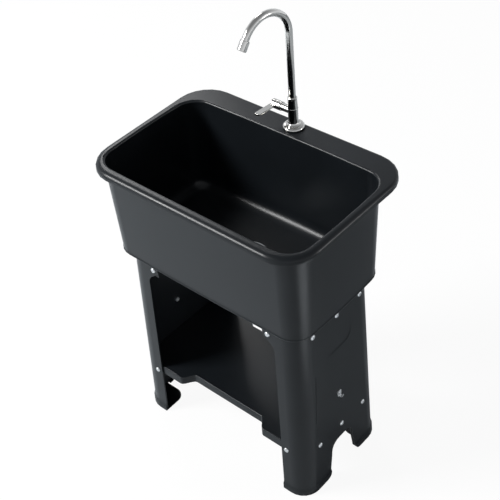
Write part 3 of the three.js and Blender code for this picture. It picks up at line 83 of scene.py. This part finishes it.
# the rim and the tub's outer wall, seen from above
RIM_HEIGHT = 790 * MM
RIM_HALF = (300 * MM, 200 * MM)
RIM_CORNER = 80 * MM
TUB_CENTRE_Y = -18.5 * MM
TUB_HALF = (282 * MM, 159.5 * MM)
TUB_CORNER = 56 * MM
DECK_FRONT_Y = 100 * MM  # the rim keeps its small round behind this

# Each row is an outline of the rim: how far it lies inside the shape above and how high it lies, then
# how far it moves (inwards on the rim's outer edge, outwards at the opening) and how far down, in mm.
OUTER_ROLL = (
    (7.0, 790.0, 6.0, 0.0),
    (3.5, 789.06, 3.0, 0.4),
    (0.94, 786.5, 0.8, 1.5),
    (0.0, 783.0, 0.0, 3.0),
)
OPENING_ROLL = ((1.5, 790.0, 3.0, 0.0), (3.25, 789.25, 0.9, 0.9), (4.0, 787.5, 0.0, 3.0))

# the end panels' sides, which lean outwards on their way down, and the shallow relief in them
PANEL_TOP = 538.5 * MM
PANEL_TOP_X = 256.2 * MM
PANEL_LEAN = 13.8 / 538.5
RELIEF_DEPTH = 1.2 * MM
RELIEF_MIDDLE = (0.0, TUB_CENTRE_Y, 441.5 * MM)
RELIEF_HALF = (50 * MM, 41.5 * MM)
RELIEF_GROWTH = (1.0, 1.017, 1.022)
GROOVE_TOP = (260.3, -101.5, 381.8)
GROOVE_FOOT = (264.2, -109.7, 231.2)
GROOVE_WIDTH = 1.4 * MM

# the pan-head screws
HEAD_RADIUS = 6.5 * MM
HEAD_HEIGHT = 3.2 * MM
HEAD_ROUND = 2.6 * MM
SHANK_RADIUS = 2.4 * MM
SHANK_LENGTH = 12.6 * MM
TIP_LENGTH = 2.3 * MM
CAD_SCREW_LENGTH = 18.2 * MM  # from the top of its head to its tip
RECESS_RADIUS = 2.6 * MM
RECESS_DEPTH = 1.6 * MM

# the spout
TAP_Y = 173 * MM
SPOUT_RADIUS = 8 * MM
BEND_HEIGHT = 1028 * MM
BEND_RADIUS = 65 * MM
BEND_SWEEP = math.radians(147)
SPOUT_SWING = math.radians(-6)  # at rest it points a little to the left
SPOUT_END = 12 * MM  # the straight piece after the bend

# name, place, side and share of the key's power of each soft light
SOFT_LIGHTS = (
    ("key_light", (-2.63, -2.72, 3.35), 1.5, 1.05),
    ("sheen_light", (-3.1, 1.95, 3.4), 1.3, 0.17),
    ("edge_light", (3.15, 1.9, 0.95), 0.7, 0.07),
)
LIGHTS_AIM = (0.0, 0.0, 0.4)
FLOOR_LIGHT_AT = (1.08, -0.17, 3.0)
FLOOR_LIGHT_SPREAD = math.radians(15.5)
FLOOR_LIGHT_SHARE = 4.0
ROOM_LIGHT = 0.14
FLOOR_SIZE = 14.0


# ---------------------------------------------------------------- colours and materials


def linear(hex_colour):
    """An sRGB hex colour as linear red, green, blue and alpha."""
    channels = [int(hex_colour[i : i + 2], 16) / 255 for i in (1, 3, 5)]
    flat = [c / 12.92 if c <= 0.04045 else ((c + 0.055) / 1.055) ** 2.4 for c in channels]
    return (*flat, 1.0)


def add_node(tree, kind, settings=None, inputs=None, links=None):
    """Adds a node, sets its properties and sockets, and links its inputs to other nodes' outputs."""
    node = tree.nodes.new(kind)
    for name, value in (settings or {}).items():
        setattr(node, name, value)
    for name, value in (inputs or {}).items():
        node.inputs[name].default_value = value
    for name, output in (links or {}).items():
        tree.links.new(output, node.inputs[name])
    return node


def new_material(name):
    """An empty node material with its output."""
    material = bpy.data.materials.new(name)
    material.use_nodes = True
    tree = material.node_tree
    tree.nodes.clear()
    output = add_node(tree, "ShaderNodeOutputMaterial")
    coordinates = add_node(tree, "ShaderNodeTexCoord").outputs["Object"]
    return material, tree, output, coordinates


def blend_colours(tree, factor, low, high):
    """Two colours mixed by a factor between 0 and 1."""
    mix = add_node(tree, "ShaderNodeMix", {"data_type": "RGBA"})
    mix.inputs[6].default_value = linear(low)
    mix.inputs[7].default_value = linear(high)
    tree.links.new(factor, mix.inputs[0])
    return mix.outputs[2]


def ranged(tree, value, low, high):
    """A 0 to 1 value spread between two others."""
    spread = add_node(
        tree,
        "ShaderNodeMapRange",
        inputs={"To Min": low, "To Max": high},
        links={"Value": value},
    )
    return spread.outputs["Result"]


def moulded_polypropylene(name, low, high, roughness, grain_height):
    """Injection-moulded polypropylene, black: semi-gloss, with a fine spark-eroded grain that
    softens its highlights and faint flow clouds in its colour."""
    material, tree, output, coordinates = new_material(name)
    clouds = add_node(
        tree,
        "ShaderNodeTexNoise",
        # clouds about 110 mm across
        inputs={"Scale": 9.0, "Detail": 2.0},
        links={"Vector": coordinates},
    )
    grain = add_node(
        tree,
        "ShaderNodeTexNoise",
        # 0.7 mm: the real grain is about 0.2 mm and would not show
        inputs={"Scale": 1400.0, "Detail": 1.0},
        links={"Vector": coordinates},
    )
    bump = add_node(
        tree,
        "ShaderNodeBump",
        inputs={"Strength": 0.25, "Distance": grain_height},
        links={"Height": grain.outputs["Fac"]},
    )
    shader = add_node(
        tree,
        "ShaderNodeBsdfPrincipled",
        inputs={"IOR": 1.49, "Specular IOR Level": 0.3},
        links={
            "Base Color": blend_colours(tree, clouds.outputs["Fac"], low, high),
            "Roughness": ranged(tree, clouds.outputs["Fac"], roughness - 0.04, roughness + 0.04),
            "Normal": bump.outputs["Normal"],
        },
    )
    tree.links.new(shader.outputs["BSDF"], output.inputs["Surface"])
    return material


def metal(name, low, high, roughness, streaks=(60.0, 60.0, 60.0), spread=0.03):
    """A bare or plated metal whose roughness and tone vary a little along its finishing marks."""
    material, tree, output, coordinates = new_material(name)
    stretched = add_node(
        tree,
        "ShaderNodeMapping",
        inputs={"Scale": streaks},
        links={"Vector": coordinates},
    )
    marks = add_node(
        tree,
        "ShaderNodeTexNoise",
        inputs={"Scale": 6.0, "Detail": 3.0},
        links={"Vector": stretched.outputs["Vector"]},
    )
    marked = marks.outputs["Fac"]
    shader = add_node(
        tree,
        "ShaderNodeBsdfPrincipled",
        inputs={"Metallic": 1.0},
        links={
            "Base Color": blend_colours(tree, marked, low, high),
            "Roughness": ranged(tree, marked, roughness - spread, roughness + spread),
        },
    )
    tree.links.new(shader.outputs["BSDF"], output.inputs["Surface"])
    return material


def moulded_plain(name, low, high, roughness, grain_scale):
    """Rubber, fibre or plastic in the small parts: matt, with a fine moulded grain."""
    material, tree, output, coordinates = new_material(name)
    grain = add_node(
        tree,
        "ShaderNodeTexNoise",
        inputs={"Scale": grain_scale, "Detail": 2.0},
        links={"Vector": coordinates},
    )
    bump = add_node(
        tree,
        "ShaderNodeBump",
        inputs={"Strength": 0.3, "Distance": 0.05 * MM},
        links={"Height": grain.outputs["Fac"]},
    )
    shader = add_node(
        tree,
        "ShaderNodeBsdfPrincipled",
        links={
            "Base Color": blend_colours(tree, grain.outputs["Fac"], low, high),
            "Roughness": ranged(tree, grain.outputs["Fac"], roughness - 0.05, roughness + 0.05),
            "Normal": bump.outputs["Normal"],
        },
    )
    tree.links.new(shader.outputs["BSDF"], output.inputs["Surface"])
    return material


def larger(tree, first, second):
    """The larger of two values."""
    node = add_node(tree, "ShaderNodeMath", {"operation": "MAXIMUM"})
    tree.links.new(first, node.inputs[0])
    tree.links.new(second, node.inputs[1])
    return node.outputs["Value"]


def paper(tree, colour, glow):
    """Pale paper that shines a little of its own."""
    matt = add_node(tree, "ShaderNodeBsdfDiffuse", inputs={"Color": linear(colour)})
    if not glow:
        return matt.outputs["BSDF"]
    shine = add_node(
        tree,
        "ShaderNodeEmission",
        inputs={"Color": (1.0, 1.0, 1.0, 1.0), "Strength": glow},
    )
    both = add_node(tree, "ShaderNodeAddShader")
    tree.links.new(matt.outputs["BSDF"], both.inputs[0])
    tree.links.new(shine.outputs["Emission"], both.inputs[1])
    return both.outputs["Shader"]


def either(tree, factor, first, second):
    """One shader where the factor is 0 and another where it is 1."""
    mix = add_node(tree, "ShaderNodeMixShader", links={"Fac": factor})
    tree.links.new(first, mix.inputs[1])
    tree.links.new(second, mix.inputs[2])
    return mix.outputs["Shader"]


def backdrop_material():
    """Pale matt paper that takes the sink's shadow: near white to the eye, and as light as its lamps
    make it in the sink's metal and plastic."""
    material, tree, output, _ = new_material("backdrop_paper")
    path = add_node(tree, "ShaderNodeLightPath").outputs
    mirrored = larger(tree, path["Is Glossy Ray"], path["Is Transmission Ray"])
    lighting = paper(tree, "#E8E8E6", 0.0)
    reflection = paper(tree, "#EAF1F6", 0.04)
    straight = paper(tree, "#555555", 0.93)
    shown = either(tree, mirrored, lighting, reflection)
    shown = either(tree, path["Is Camera Ray"], shown, straight)
    tree.links.new(shown, output.inputs["Surface"])
    return material


MATERIALS = {}


def material_for(slot):
    """The scene's material for one of the record's material slots."""
    if not MATERIALS:
        colours = bpy.context.scene.sink_colours
        MATERIALS.update(
            {
                "moulded_black": moulded_polypropylene(
                    "moulded_polypropylene", colours.plastic_low, colours.plastic_high, 0.3, 0.03 * MM
                ),
                # electroplated chrome on brass: a hard mirror
                "tap_chrome": metal("polished_chrome", "#CAC8C4", "#D3D1CD", 0.12, spread=0.02),
                # bright zinc-plated steel, slightly cloudy
                "screw_zinc": metal("bright_zinc", "#DADCDD", "#ECEDED", 0.28),
                # satin zinc on pressed steel
                "hook_zinc": metal("satin_zinc", "#DCDEDF", "#EDEEEE", 0.36),
                # turned brass, with fine rings from the lathe
                "plain_brass": metal("turned_brass", "#A98A48", "#C4A666", 0.34, (40.0, 40.0, 900.0)),
                # pressed stainless steel with a brushed face
                "plain_steel": metal("brushed_stainless", "#A9ACAF", "#C0C3C5", 0.3, (900.0, 60.0, 60.0)),
                "black_rubber": moulded_plain("moulded_rubber", "#161617", "#202021", 0.8, 900.0),
                "fibre_ring": moulded_plain("pressed_fibre", "#7A6A4E", "#96845F", 0.85, 500.0),
                "screen_plastic": moulded_plain("acetal", "#DCDCD6", "#ECECE8", 0.45, 700.0),
            }
        )
    return MATERIALS[slot]


# ---------------------------------------------------------------- shaping helpers


def slot_of(node):
    """The record's material slot of a CAD node."""
    for part in frame["record"]["subparts"]:
        if part["node"] == node:
            return part["material_slot"]
    raise ValueError(f"no slot for {node}")


def body_of(node):
    """The name of the body that a CAD node rides on."""
    return frame["nodes"][node]["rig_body"]


def dress(piece, slot):
    """Gives a piece the only material it has."""
    piece.data.materials.clear()
    piece.data.materials.append(material_for(slot))


def stand_for(piece, *nodes):
    """Puts a finished piece in the place of the CAD nodes that it shows."""
    dress(piece, slot_of(nodes[0]))
    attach(piece, body_of(nodes[0]))
    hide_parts(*nodes)


def only(piece):
    """Selects one object alone and makes it active."""
    bpy.ops.object.select_all(action="DESELECT")
    piece.select_set(True)
    bpy.context.view_layer.objects.active = piece


def smooth(piece, degrees=35):
    """Smooth shading that keeps edges sharper than an angle."""
    only(piece)
    bpy.ops.object.shade_smooth_by_angle(angle=math.radians(degrees))


def rounded_edges(piece, width, segments=2, degrees=40):
    """Breaks a piece's sharp edges with a small round."""
    only(piece)
    bevel = piece.modifiers.new("edge_round", "BEVEL")
    bevel.width = width
    bevel.segments = segments
    bevel.limit_method = "ANGLE"
    bevel.angle_limit = math.radians(degrees)
    bpy.ops.object.modifier_apply(modifier=bevel.name)


def even_shading(piece):
    """Lets the large faces rule the shading of their edges, so that flats look flat."""
    only(piece)
    weighted = piece.modifiers.new("even_shading", "WEIGHTED_NORMAL")
    weighted.keep_sharp = True
    weighted.weight = 80
    bpy.ops.object.modifier_apply(modifier=weighted.name)


def merged_copy(node, name):
    """A copy of a CAD node with its doubles merged and its flat faces whole again."""
    source = frame["nodes"][node]
    piece = bpy.data.objects.new(name, source.data.copy())
    bpy.context.scene.collection.objects.link(piece)
    only(piece)
    bpy.ops.object.mode_set(mode="EDIT")
    bpy.ops.mesh.select_all(action="SELECT")
    bpy.ops.mesh.remove_doubles(threshold=0.004 * MM)
    bpy.ops.mesh.dissolve_limited(angle_limit=math.radians(0.6))
    close_editing()
    return piece


def finer_copy(node, width, segments=2, degrees=40):
    """A CAD node's form with rounded edges and smooth faces, in the node's place."""
    piece = merged_copy(node, f"{node}_skin")
    if width:
        rounded_edges(piece, width, segments, degrees)
    smooth(piece)
    even_shading(piece)
    stand_for(piece, node)


def choose(piece, kind, test):
    """Opens a piece for editing with the points ("VERT") or faces ("FACE") chosen that pass a test."""
    only(piece)
    bpy.ops.object.mode_set(mode="EDIT")
    bpy.ops.mesh.select_mode(type=kind)
    bpy.ops.mesh.select_all(action="DESELECT")
    close_editing()
    for element in piece.data.vertices if kind == "VERT" else piece.data.polygons:
        element.select = test(element)
    bpy.ops.object.mode_set(mode="EDIT")


def close_editing():
    """Back to whole objects."""
    bpy.ops.object.mode_set(mode="OBJECT")


def move_ring(piece, test, outward, up, centre, half):
    """Moves the points of one outline outwards (or in, below 0) and up, about the outline's centre."""
    choose(piece, "VERT", lambda point: test(point.co))
    grow = (1.0 + outward / half[0], 1.0 + outward / half[1], 1.0)
    bpy.ops.transform.resize(value=grow, center_override=centre)
    bpy.ops.transform.translate(value=(0.0, 0.0, up))
    close_editing()


def round_box_inset(point, centre_y, half, radius):
    """How far a point lies inside a round-cornered rectangle, seen from above."""
    across = abs(point.x) - (half[0] - radius)
    along = abs(point.y - centre_y) - (half[1] - radius)
    outside = math.hypot(max(across, 0.0), max(along, 0.0))
    return radius - outside - min(max(across, along), 0.0)


def cut_away(piece, cutter):
    """Takes one shape out of another and removes the cutter."""
    only(piece)
    cut = piece.modifiers.new("cut", "BOOLEAN")
    cut.operation = "DIFFERENCE"
    cut.solver = "EXACT"
    cut.object = cutter
    bpy.ops.object.modifier_apply(modifier=cut.name)
    bpy.data.objects.remove(cutter, do_unlink=True)


# ---------------------------------------------------------------- the rolled rim


def roll_rim(tub):
    """Widens the rim's outer roll at the front and sides, and the roll at the basin's opening."""
    for inset, height, inwards, down in OUTER_ROLL:

        def on_outer_ring(point, inset=inset * MM, height=height * MM):
            if point.y > DECK_FRONT_Y or abs(point.z - height) > 0.1 * MM:
                return False
            return abs(round_box_inset(point, 0.0, RIM_HALF, RIM_CORNER) - inset) < 0.5 * MM

        centre = (0.0, 0.0, RIM_HEIGHT)
        move_ring(tub, on_outer_ring, -inwards * MM, -down * MM, centre, RIM_HALF)

    for inset, height, outwards, down in OPENING_ROLL:

        def on_opening(point, inset=inset * MM, height=height * MM):
            if abs(point.z - height) > 0.1 * MM:
                return False
            return abs(round_box_inset(point, TUB_CENTRE_Y, TUB_HALF, TUB_CORNER) - inset) < 2.6 * MM

        centre = (0.0, TUB_CENTRE_Y, RIM_HEIGHT)
        move_ring(tub, on_opening, outwards * MM, -down * MM, centre, TUB_HALF)


# ---------------------------------------------------------------- end panels


def steepen_relief(panel):
    """Widens the floor of the shallow relief in a panel's side, so that its outline shows."""

    def on_relief_floor(vertex):
        point = vertex.co
        floor = PANEL_TOP_X + PANEL_LEAN * (PANEL_TOP - point.z) - RELIEF_DEPTH
        across = abs(point.y - RELIEF_MIDDLE[1]) < RELIEF_HALF[0]
        along = abs(point.z - RELIEF_MIDDLE[2]) < RELIEF_HALF[1]
        return across and along and abs(floor - abs(point.x)) < 0.3 * MM

    choose(panel, "VERT", on_relief_floor)
    bpy.ops.transform.resize(value=RELIEF_GROWTH, center_override=RELIEF_MIDDLE)
    close_editing()


def score_side(panel, side):
    """Cuts the fine line that runs down a panel's side, parallel to its front corner."""
    mirrored = Vector((side, 1.0, 1.0)) * MM
    top = Vector(GROOVE_TOP) * mirrored
    foot = Vector(GROOVE_FOOT) * mirrored
    bpy.ops.object.select_all(action="DESELECT")
    bpy.ops.mesh.primitive_cube_add(
        size=1.0,
        location=(top + foot) / 2,
        rotation=(top - foot).to_track_quat("Z", "Y").to_euler(),
        scale=(GROOVE_WIDTH, GROOVE_WIDTH, (top - foot).length),
    )
    cut_away(panel, bpy.context.active_object)


# ---------------------------------------------------------------- screws


def pan_head_screw():
    """A pan-head screw with a cross recess, pointing down, with the top of its head at the origin."""
    bpy.ops.object.select_all(action="DESELECT")
    bpy.ops.mesh.primitive_cylinder_add(
        vertices=32,
        radius=HEAD_RADIUS,
        depth=HEAD_HEIGHT,
        location=(0.0, 0.0, -HEAD_HEIGHT / 2),
    )
    screw = bpy.context.active_object
    bpy.ops.object.transform_apply(location=True)
    choose(screw, "FACE", lambda face: face.normal.z < -0.5)
    bpy.ops.mesh.inset(thickness=HEAD_RADIUS - SHANK_RADIUS)
    for length in (SHANK_LENGTH, TIP_LENGTH):
        bpy.ops.mesh.extrude_region_move(TRANSFORM_OT_translate={"value": (0.0, 0.0, -length)})
    point_at = (0.0, 0.0, -(HEAD_HEIGHT + SHANK_LENGTH + TIP_LENGTH))
    bpy.ops.transform.resize(value=(0.1, 0.1, 1.0), center_override=point_at)
    close_editing()
    choose(screw, "VERT", lambda point: point.co.z > -0.1 * MM)
    bpy.ops.mesh.bevel(offset=HEAD_ROUND, segments=5, affect="EDGES", profile=0.45)
    close_editing()
    for turn in (0.0, math.pi / 2):
        bpy.ops.object.select_all(action="DESELECT")
        bpy.ops.mesh.primitive_cone_add(
            vertices=4,
            radius1=0.5 * MM,
            radius2=RECESS_RADIUS,
            depth=RECESS_DEPTH + 0.2 * MM,
            location=(0.0, 0.0, -RECESS_DEPTH / 2 + 0.1 * MM),
            rotation=(0.0, 0.0, turn),
        )
        slot = bpy.context.active_object
        bpy.ops.object.mode_set(mode="EDIT")
        bpy.ops.mesh.select_all(action="SELECT")
        bpy.ops.transform.resize(value=(1.0, 0.24, 1.0), orient_type="LOCAL")
        close_editing()
        cut_away(screw, slot)
    smooth(screw, 40)
    return screw


def copy_to_axis(pattern, node):
    """Puts a copy of a screw on the axis of a CAD screw."""
    points = [point.co for point in frame["nodes"][node].data.vertices]
    middle = sum(points, Vector()) / len(points)
    tip = max(points, key=lambda point: (point - middle).length)
    top = min(points, key=lambda point: abs((point - tip).length - CAD_SCREW_LENGTH))
    piece = bpy.data.objects.new(f"{node}_skin", pattern.data.copy())
    bpy.context.scene.collection.objects.link(piece)
    turn = (top - tip).to_track_quat("Z", "Y").to_matrix().to_4x4()
    piece.data.transform(Matrix.Translation(top) @ turn)
    stand_for(piece, node)


# ---------------------------------------------------------------- spout


def bent_spout():
    """The high arc: one round tube that rises, bends over and ends in a short straight piece."""
    foot = min(point.co.z for point in frame["nodes"]["spout"].data.vertices)
    up = Vector((0.0, 0.0, 1.0))
    forward = Vector((math.sin(SPOUT_SWING), -math.cos(SPOUT_SWING), 0.0))
    across = Vector((math.cos(SPOUT_SWING), math.sin(SPOUT_SWING), 0.0))
    bend_centre = Vector((0.0, TAP_Y, BEND_HEIGHT)) + forward * BEND_RADIUS
    along_end = forward * math.sin(BEND_SWEEP) + up * math.cos(BEND_SWEEP)
    bpy.ops.object.select_all(action="DESELECT")
    bpy.ops.mesh.primitive_circle_add(
        vertices=48,
        radius=SPOUT_RADIUS,
        fill_type="NGON",
        location=(0.0, TAP_Y, foot),
    )
    spout = bpy.context.active_object
    spout.name = "spout_skin"
    bpy.ops.object.transform_apply(location=True)
    bpy.ops.object.mode_set(mode="EDIT")
    bpy.ops.mesh.select_mode(type="FACE")
    bpy.ops.mesh.select_all(action="SELECT")
    rise = up * (BEND_HEIGHT - foot)
    bpy.ops.mesh.extrude_region_move(TRANSFORM_OT_translate={"value": rise})
    bpy.ops.mesh.spin(steps=64, angle=-BEND_SWEEP, center=bend_centre, axis=across)
    bpy.ops.mesh.extrude_region_move(TRANSFORM_OT_translate={"value": along_end * SPOUT_END})
    close_editing()
    smooth(spout, 40)
    stand_for(spout, "spout")


# ---------------------------------------------------------------- settings


class SinkColours(bpy.types.PropertyGroup):
    """Colours that a user may change."""

    plastic_low: StringProperty(
        name="Plastic, dark",
        description="The darker tone of the moulded plastic, as an sRGB hex value",
        default="#15181B",
    )
    plastic_high: StringProperty(
        name="Plastic, light",
        description="The lighter tone of the moulded plastic, as an sRGB hex value",
        default="#1C2024",
    )


class SinkSizes(bpy.types.PropertyGroup):
    """Sizes that a user may change."""

    plastic_edge: FloatProperty(
        name="Plastic edge round",
        description="The radius along the moulded pieces' edges",
        default=1.1 * MM,
        min=0.0,
        unit="LENGTH",
    )
    metal_edge: FloatProperty(
        name="Metal edge round",
        description="The radius along the metal pieces' edges",
        default=0.4 * MM,
        min=0.0,
        unit="LENGTH",
    )


class SinkStage(bpy.types.PropertyGroup):
    """The camera and the lights."""

    camera_at: FloatVectorProperty(
        name="Camera position",
        description="Where the camera stands",
        default=(1.23293, -1.27537, 2.08123),
        subtype="TRANSLATION",
        unit="LENGTH",
    )
    camera_turn: FloatVectorProperty(
        name="Camera yaw, pitch and roll",
        description="How the camera is turned: round Z, up from level, and about its own axis",
        default=tuple(math.radians(angle) for angle in (44.10, -40.82, -5.34)),
        subtype="EULER",
    )
    camera_lens: FloatProperty(
        name="Lens",
        description="The focal length in millimetres on a 36 mm sensor",
        default=73.77,
    )
    key_power: FloatProperty(
        name="Key light",
        description="The power of the main soft light",
        default=200.0,
        unit="POWER",
    )


# ---------------------------------------------------------------- operators


class SINK_OT_tub(bpy.types.Operator):
    """Makes the moulded tub with its rim and deck"""

    bl_idname = "sink.tub"
    bl_label = "Tub"

    def execute(self, context):
        tub = merged_copy("tub", "tub_skin")
        roll_rim(tub)
        rounded_edges(tub, context.scene.sink_sizes.plastic_edge, 2, 50)
        smooth(tub)
        even_shading(tub)
        stand_for(tub, "tub")
        return {"FINISHED"}


class SINK_OT_end_panels(bpy.types.Operator):
    """Makes the two moulded end panels"""

    bl_idname = "sink.end_panels"
    bl_label = "End panels"

    def execute(self, context):
        for side in SIDES:
            panel = merged_copy(f"{side}_leg_panel", f"{side}_leg_panel_skin")
            steepen_relief(panel)
            score_side(panel, 1 if side == "right" else -1)
            rounded_edges(panel, 1.4 * context.scene.sink_sizes.plastic_edge, 3, 50)
            smooth(panel, 20)
            even_shading(panel)
            stand_for(panel, f"{side}_leg_panel")
        return {"FINISHED"}


class SINK_OT_shelf(bpy.types.Operator):
    """Makes the shelf between the panels"""

    bl_idname = "sink.shelf"
    bl_label = "Shelf"

    def execute(self, context):
        finer_copy("shelf", context.scene.sink_sizes.plastic_edge, 2, 50)
        return {"FINISHED"}


class SINK_OT_screws(bpy.types.Operator):
    """Makes the panel screws"""

    bl_idname = "sink.screws"
    bl_label = "Panel screws"

    def execute(self, context):
        pattern = pan_head_screw()
        for side in SIDES:
            for place in SCREW_PLACES:
                copy_to_axis(pattern, f"{side}_{place}")
        bpy.data.objects.remove(pattern, do_unlink=True)
        return {"FINISHED"}


class SINK_OT_hooks(bpy.types.Operator):
    """Makes the side hooks with their bolts and nuts"""

    bl_idname = "sink.hooks"
    bl_label = "Side hooks"

    def execute(self, context):
        for side in SIDES:
            finer_copy(f"{side}_hook", 3.5 * context.scene.sink_sizes.metal_edge, 3)
            for part in ("hook_bolt", "hook_nut"):
                finer_copy(f"{side}_{part}", context.scene.sink_sizes.metal_edge)
        return {"FINISHED"}


class SINK_OT_tap(bpy.types.Operator):
    """Makes the tap's body, spout, lever and fittings"""

    bl_idname = "sink.tap"
    bl_label = "Tap"

    def execute(self, context):
        for node in (
            "tap_flange",
            "tap_body",
            "spout_retaining_nut",
            "lever_handle",
            "aerator_housing",
            "aerator_screen",
            "deck_gasket",
            "threaded_shank",
            "shank_washer",
            "shank_nut",
            "spout_seal",
            "valve_cartridge",
            "valve_stem",
            "handle_grub_screw",
        ):
            finer_copy(node, context.scene.sink_sizes.metal_edge, 2, 50)
        bent_spout()
        return {"FINISHED"}


class SINK_OT_drain(bpy.types.Operator):
    """Makes the basket strainer, its fittings and the tailpiece"""

    bl_idname = "sink.drain"
    bl_label = "Drain"

    def execute(self, context):
        for node in (
            "strainer_body",
            "drain_gasket",
            "friction_ring",
            "drain_locknut",
            "strainer_basket",
            "basket_stopper",
            "tailpiece",
            "slip_nut",
        ):
            finer_copy(node, context.scene.sink_sizes.metal_edge, 2, 50)
        return {"FINISHED"}


class SINK_OT_stage(bpy.types.Operator):
    """Sets up the camera, the lights and the white surroundings"""

    bl_idname = "sink.stage"
    bl_label = "Stage"

    def execute(self, context):
        set_view(context.scene)
        place_camera(context.scene)
        place_floor()
        place_lights(context.scene)
        set_world(context.scene)
        return {"FINISHED"}


def set_view(scene):
    """Plain colours, as they are written."""
    scene.view_settings.view_transform = "Standard"


def place_camera(scene):
    """The camera at the photograph's angle."""
    stage = scene.sink_stage
    camera = bpy.data.objects.new("camera", bpy.data.cameras.new("camera"))
    scene.collection.objects.link(camera)
    yaw, pitch, roll = stage.camera_turn
    camera.matrix_world = (
        Matrix.Translation(stage.camera_at)
        @ Matrix.Rotation(yaw, 4, "Z")
        @ Matrix.Rotation(math.pi / 2 + pitch, 4, "X")
        @ Matrix.Rotation(roll, 4, "Z")
    )
    camera.data.lens = stage.camera_lens
    camera.data.sensor_width = 36.0
    camera.data.sensor_fit = "HORIZONTAL"
    camera.data.clip_end = 50.0
    scene.camera = camera


def place_floor():
    """A large pale floor."""
    bpy.ops.object.select_all(action="DESELECT")
    bpy.ops.mesh.primitive_plane_add(size=FLOOR_SIZE, location=(0.0, 0.0, 0.0))
    floor = bpy.context.active_object
    floor.name = "floor"
    floor.data.materials.append(backdrop_material())


def place_lamp(scene, name, kind, at, towards, power):
    """A lamp that faces a point."""
    lamp = bpy.data.lights.new(name, kind)
    lamp.energy = power
    holder = bpy.data.objects.new(name, lamp)
    scene.collection.objects.link(holder)
    aim = (Vector(towards) - Vector(at)).to_track_quat("-Z", "Y")
    holder.matrix_world = Matrix.Translation(at) @ aim.to_matrix().to_4x4()
    return lamp


def place_lights(scene):
    """A broad key from the front left, a sheen for the flat tops from the back left, a low light from
    behind on the right, and a spot on the patch of floor that the sink's front corner mirrors."""
    power = scene.sink_stage.key_power
    for name, at, side, share in SOFT_LIGHTS:
        lamp = place_lamp(scene, name, "AREA", at, LIGHTS_AIM, power * share)
        lamp.size = side
    below = (*FLOOR_LIGHT_AT[:2], 0.0)
    power *= FLOOR_LIGHT_SHARE
    spot = place_lamp(scene, "floor_light", "SPOT", FLOOR_LIGHT_AT, below, power)
    spot.spot_size = FLOOR_LIGHT_SPREAD
    spot.spot_blend = 0.8


def set_world(scene):
    """A studio that is white at eye level and grey overhead where it is seen or mirrored, and that
    lights the sink at a plain level."""
    world = bpy.data.worlds.new("studio")
    world.use_nodes = True
    scene.world = world
    tree = world.node_tree
    tree.nodes.clear()
    output = add_node(tree, "ShaderNodeOutputWorld")
    path = add_node(tree, "ShaderNodeLightPath").outputs
    mirrored = larger(tree, path["Is Glossy Ray"], path["Is Transmission Ray"])
    seen = larger(tree, path["Is Camera Ray"], mirrored)
    direction = add_node(tree, "ShaderNodeTexCoord").outputs["Generated"]
    height = add_node(tree, "ShaderNodeSeparateXYZ", links={"Vector": direction}).outputs["Z"]
    room = add_node(
        tree,
        "ShaderNodeMapRange",
        inputs={"From Min": 0.1, "From Max": 0.85, "To Min": 1.0, "To Max": 0.3},
        links={"Value": height},
    )
    strength = add_node(
        tree,
        "ShaderNodeMapRange",
        inputs={"To Min": ROOM_LIGHT},
        links={"Value": seen, "To Max": room.outputs["Result"]},
    )
    sky = add_node(
        tree,
        "ShaderNodeBackground",
        links={
            "Color": blend_colours(tree, path["Is Camera Ray"], "#F6FAFF", "#FFFFFF"),
            "Strength": strength.outputs["Result"],
        },
    )
    tree.links.new(sky.outputs["Background"], output.inputs["Surface"])


class SINK_PT_pieces(bpy.types.Panel):
    """Lists the steps that build the sink"""

    bl_idname = "SINK_PT_pieces"
    bl_label = "Laundry Sink"
    bl_space_type = "VIEW_3D"
    bl_region_type = "UI"
    bl_category = "Laundry Sink"

    def draw(self, context):
        scene = context.scene
        for group in (scene.sink_sizes, scene.sink_colours, scene.sink_stage):
            box = self.layout.box()
            for name in group.bl_rna.properties.keys():
                if name not in ("rna_type", "name"):
                    box.prop(group, name)
        for operator in OPERATORS:
            self.layout.operator(operator.bl_idname)


GROUPS = {"sink_colours": SinkColours, "sink_sizes": SinkSizes, "sink_stage": SinkStage}
OPERATORS = (
    SINK_OT_tub,
    SINK_OT_end_panels,
    SINK_OT_shelf,
    SINK_OT_screws,
    SINK_OT_hooks,
    SINK_OT_tap,
    SINK_OT_drain,
    SINK_OT_stage,
)


def register():
    """Makes the settings, the operators and the panel known to Blender."""
    for cls in (*GROUPS.values(), *OPERATORS, SINK_PT_pieces):
        bpy.utils.register_class(cls)
    for name, group in GROUPS.items():
        setattr(bpy.types.Scene, name, PointerProperty(type=group))


def unregister():
    """Takes them away again."""
    for name in GROUPS:
        delattr(bpy.types.Scene, name)
    for cls in (SINK_PT_pieces, *reversed(OPERATORS), *reversed(list(GROUPS.values()))):
        bpy.utils.unregister_class(cls)


def main():
    """Builds the whole sink and its stage."""
    register()
    bpy.ops.sink.tub()
    bpy.ops.sink.end_panels()
    bpy.ops.sink.shelf()
    bpy.ops.sink.screws()
    bpy.ops.sink.hooks()
    bpy.ops.sink.tap()
    bpy.ops.sink.drain()
    bpy.ops.sink.stage()


if __name__ == "__main__":
    main()
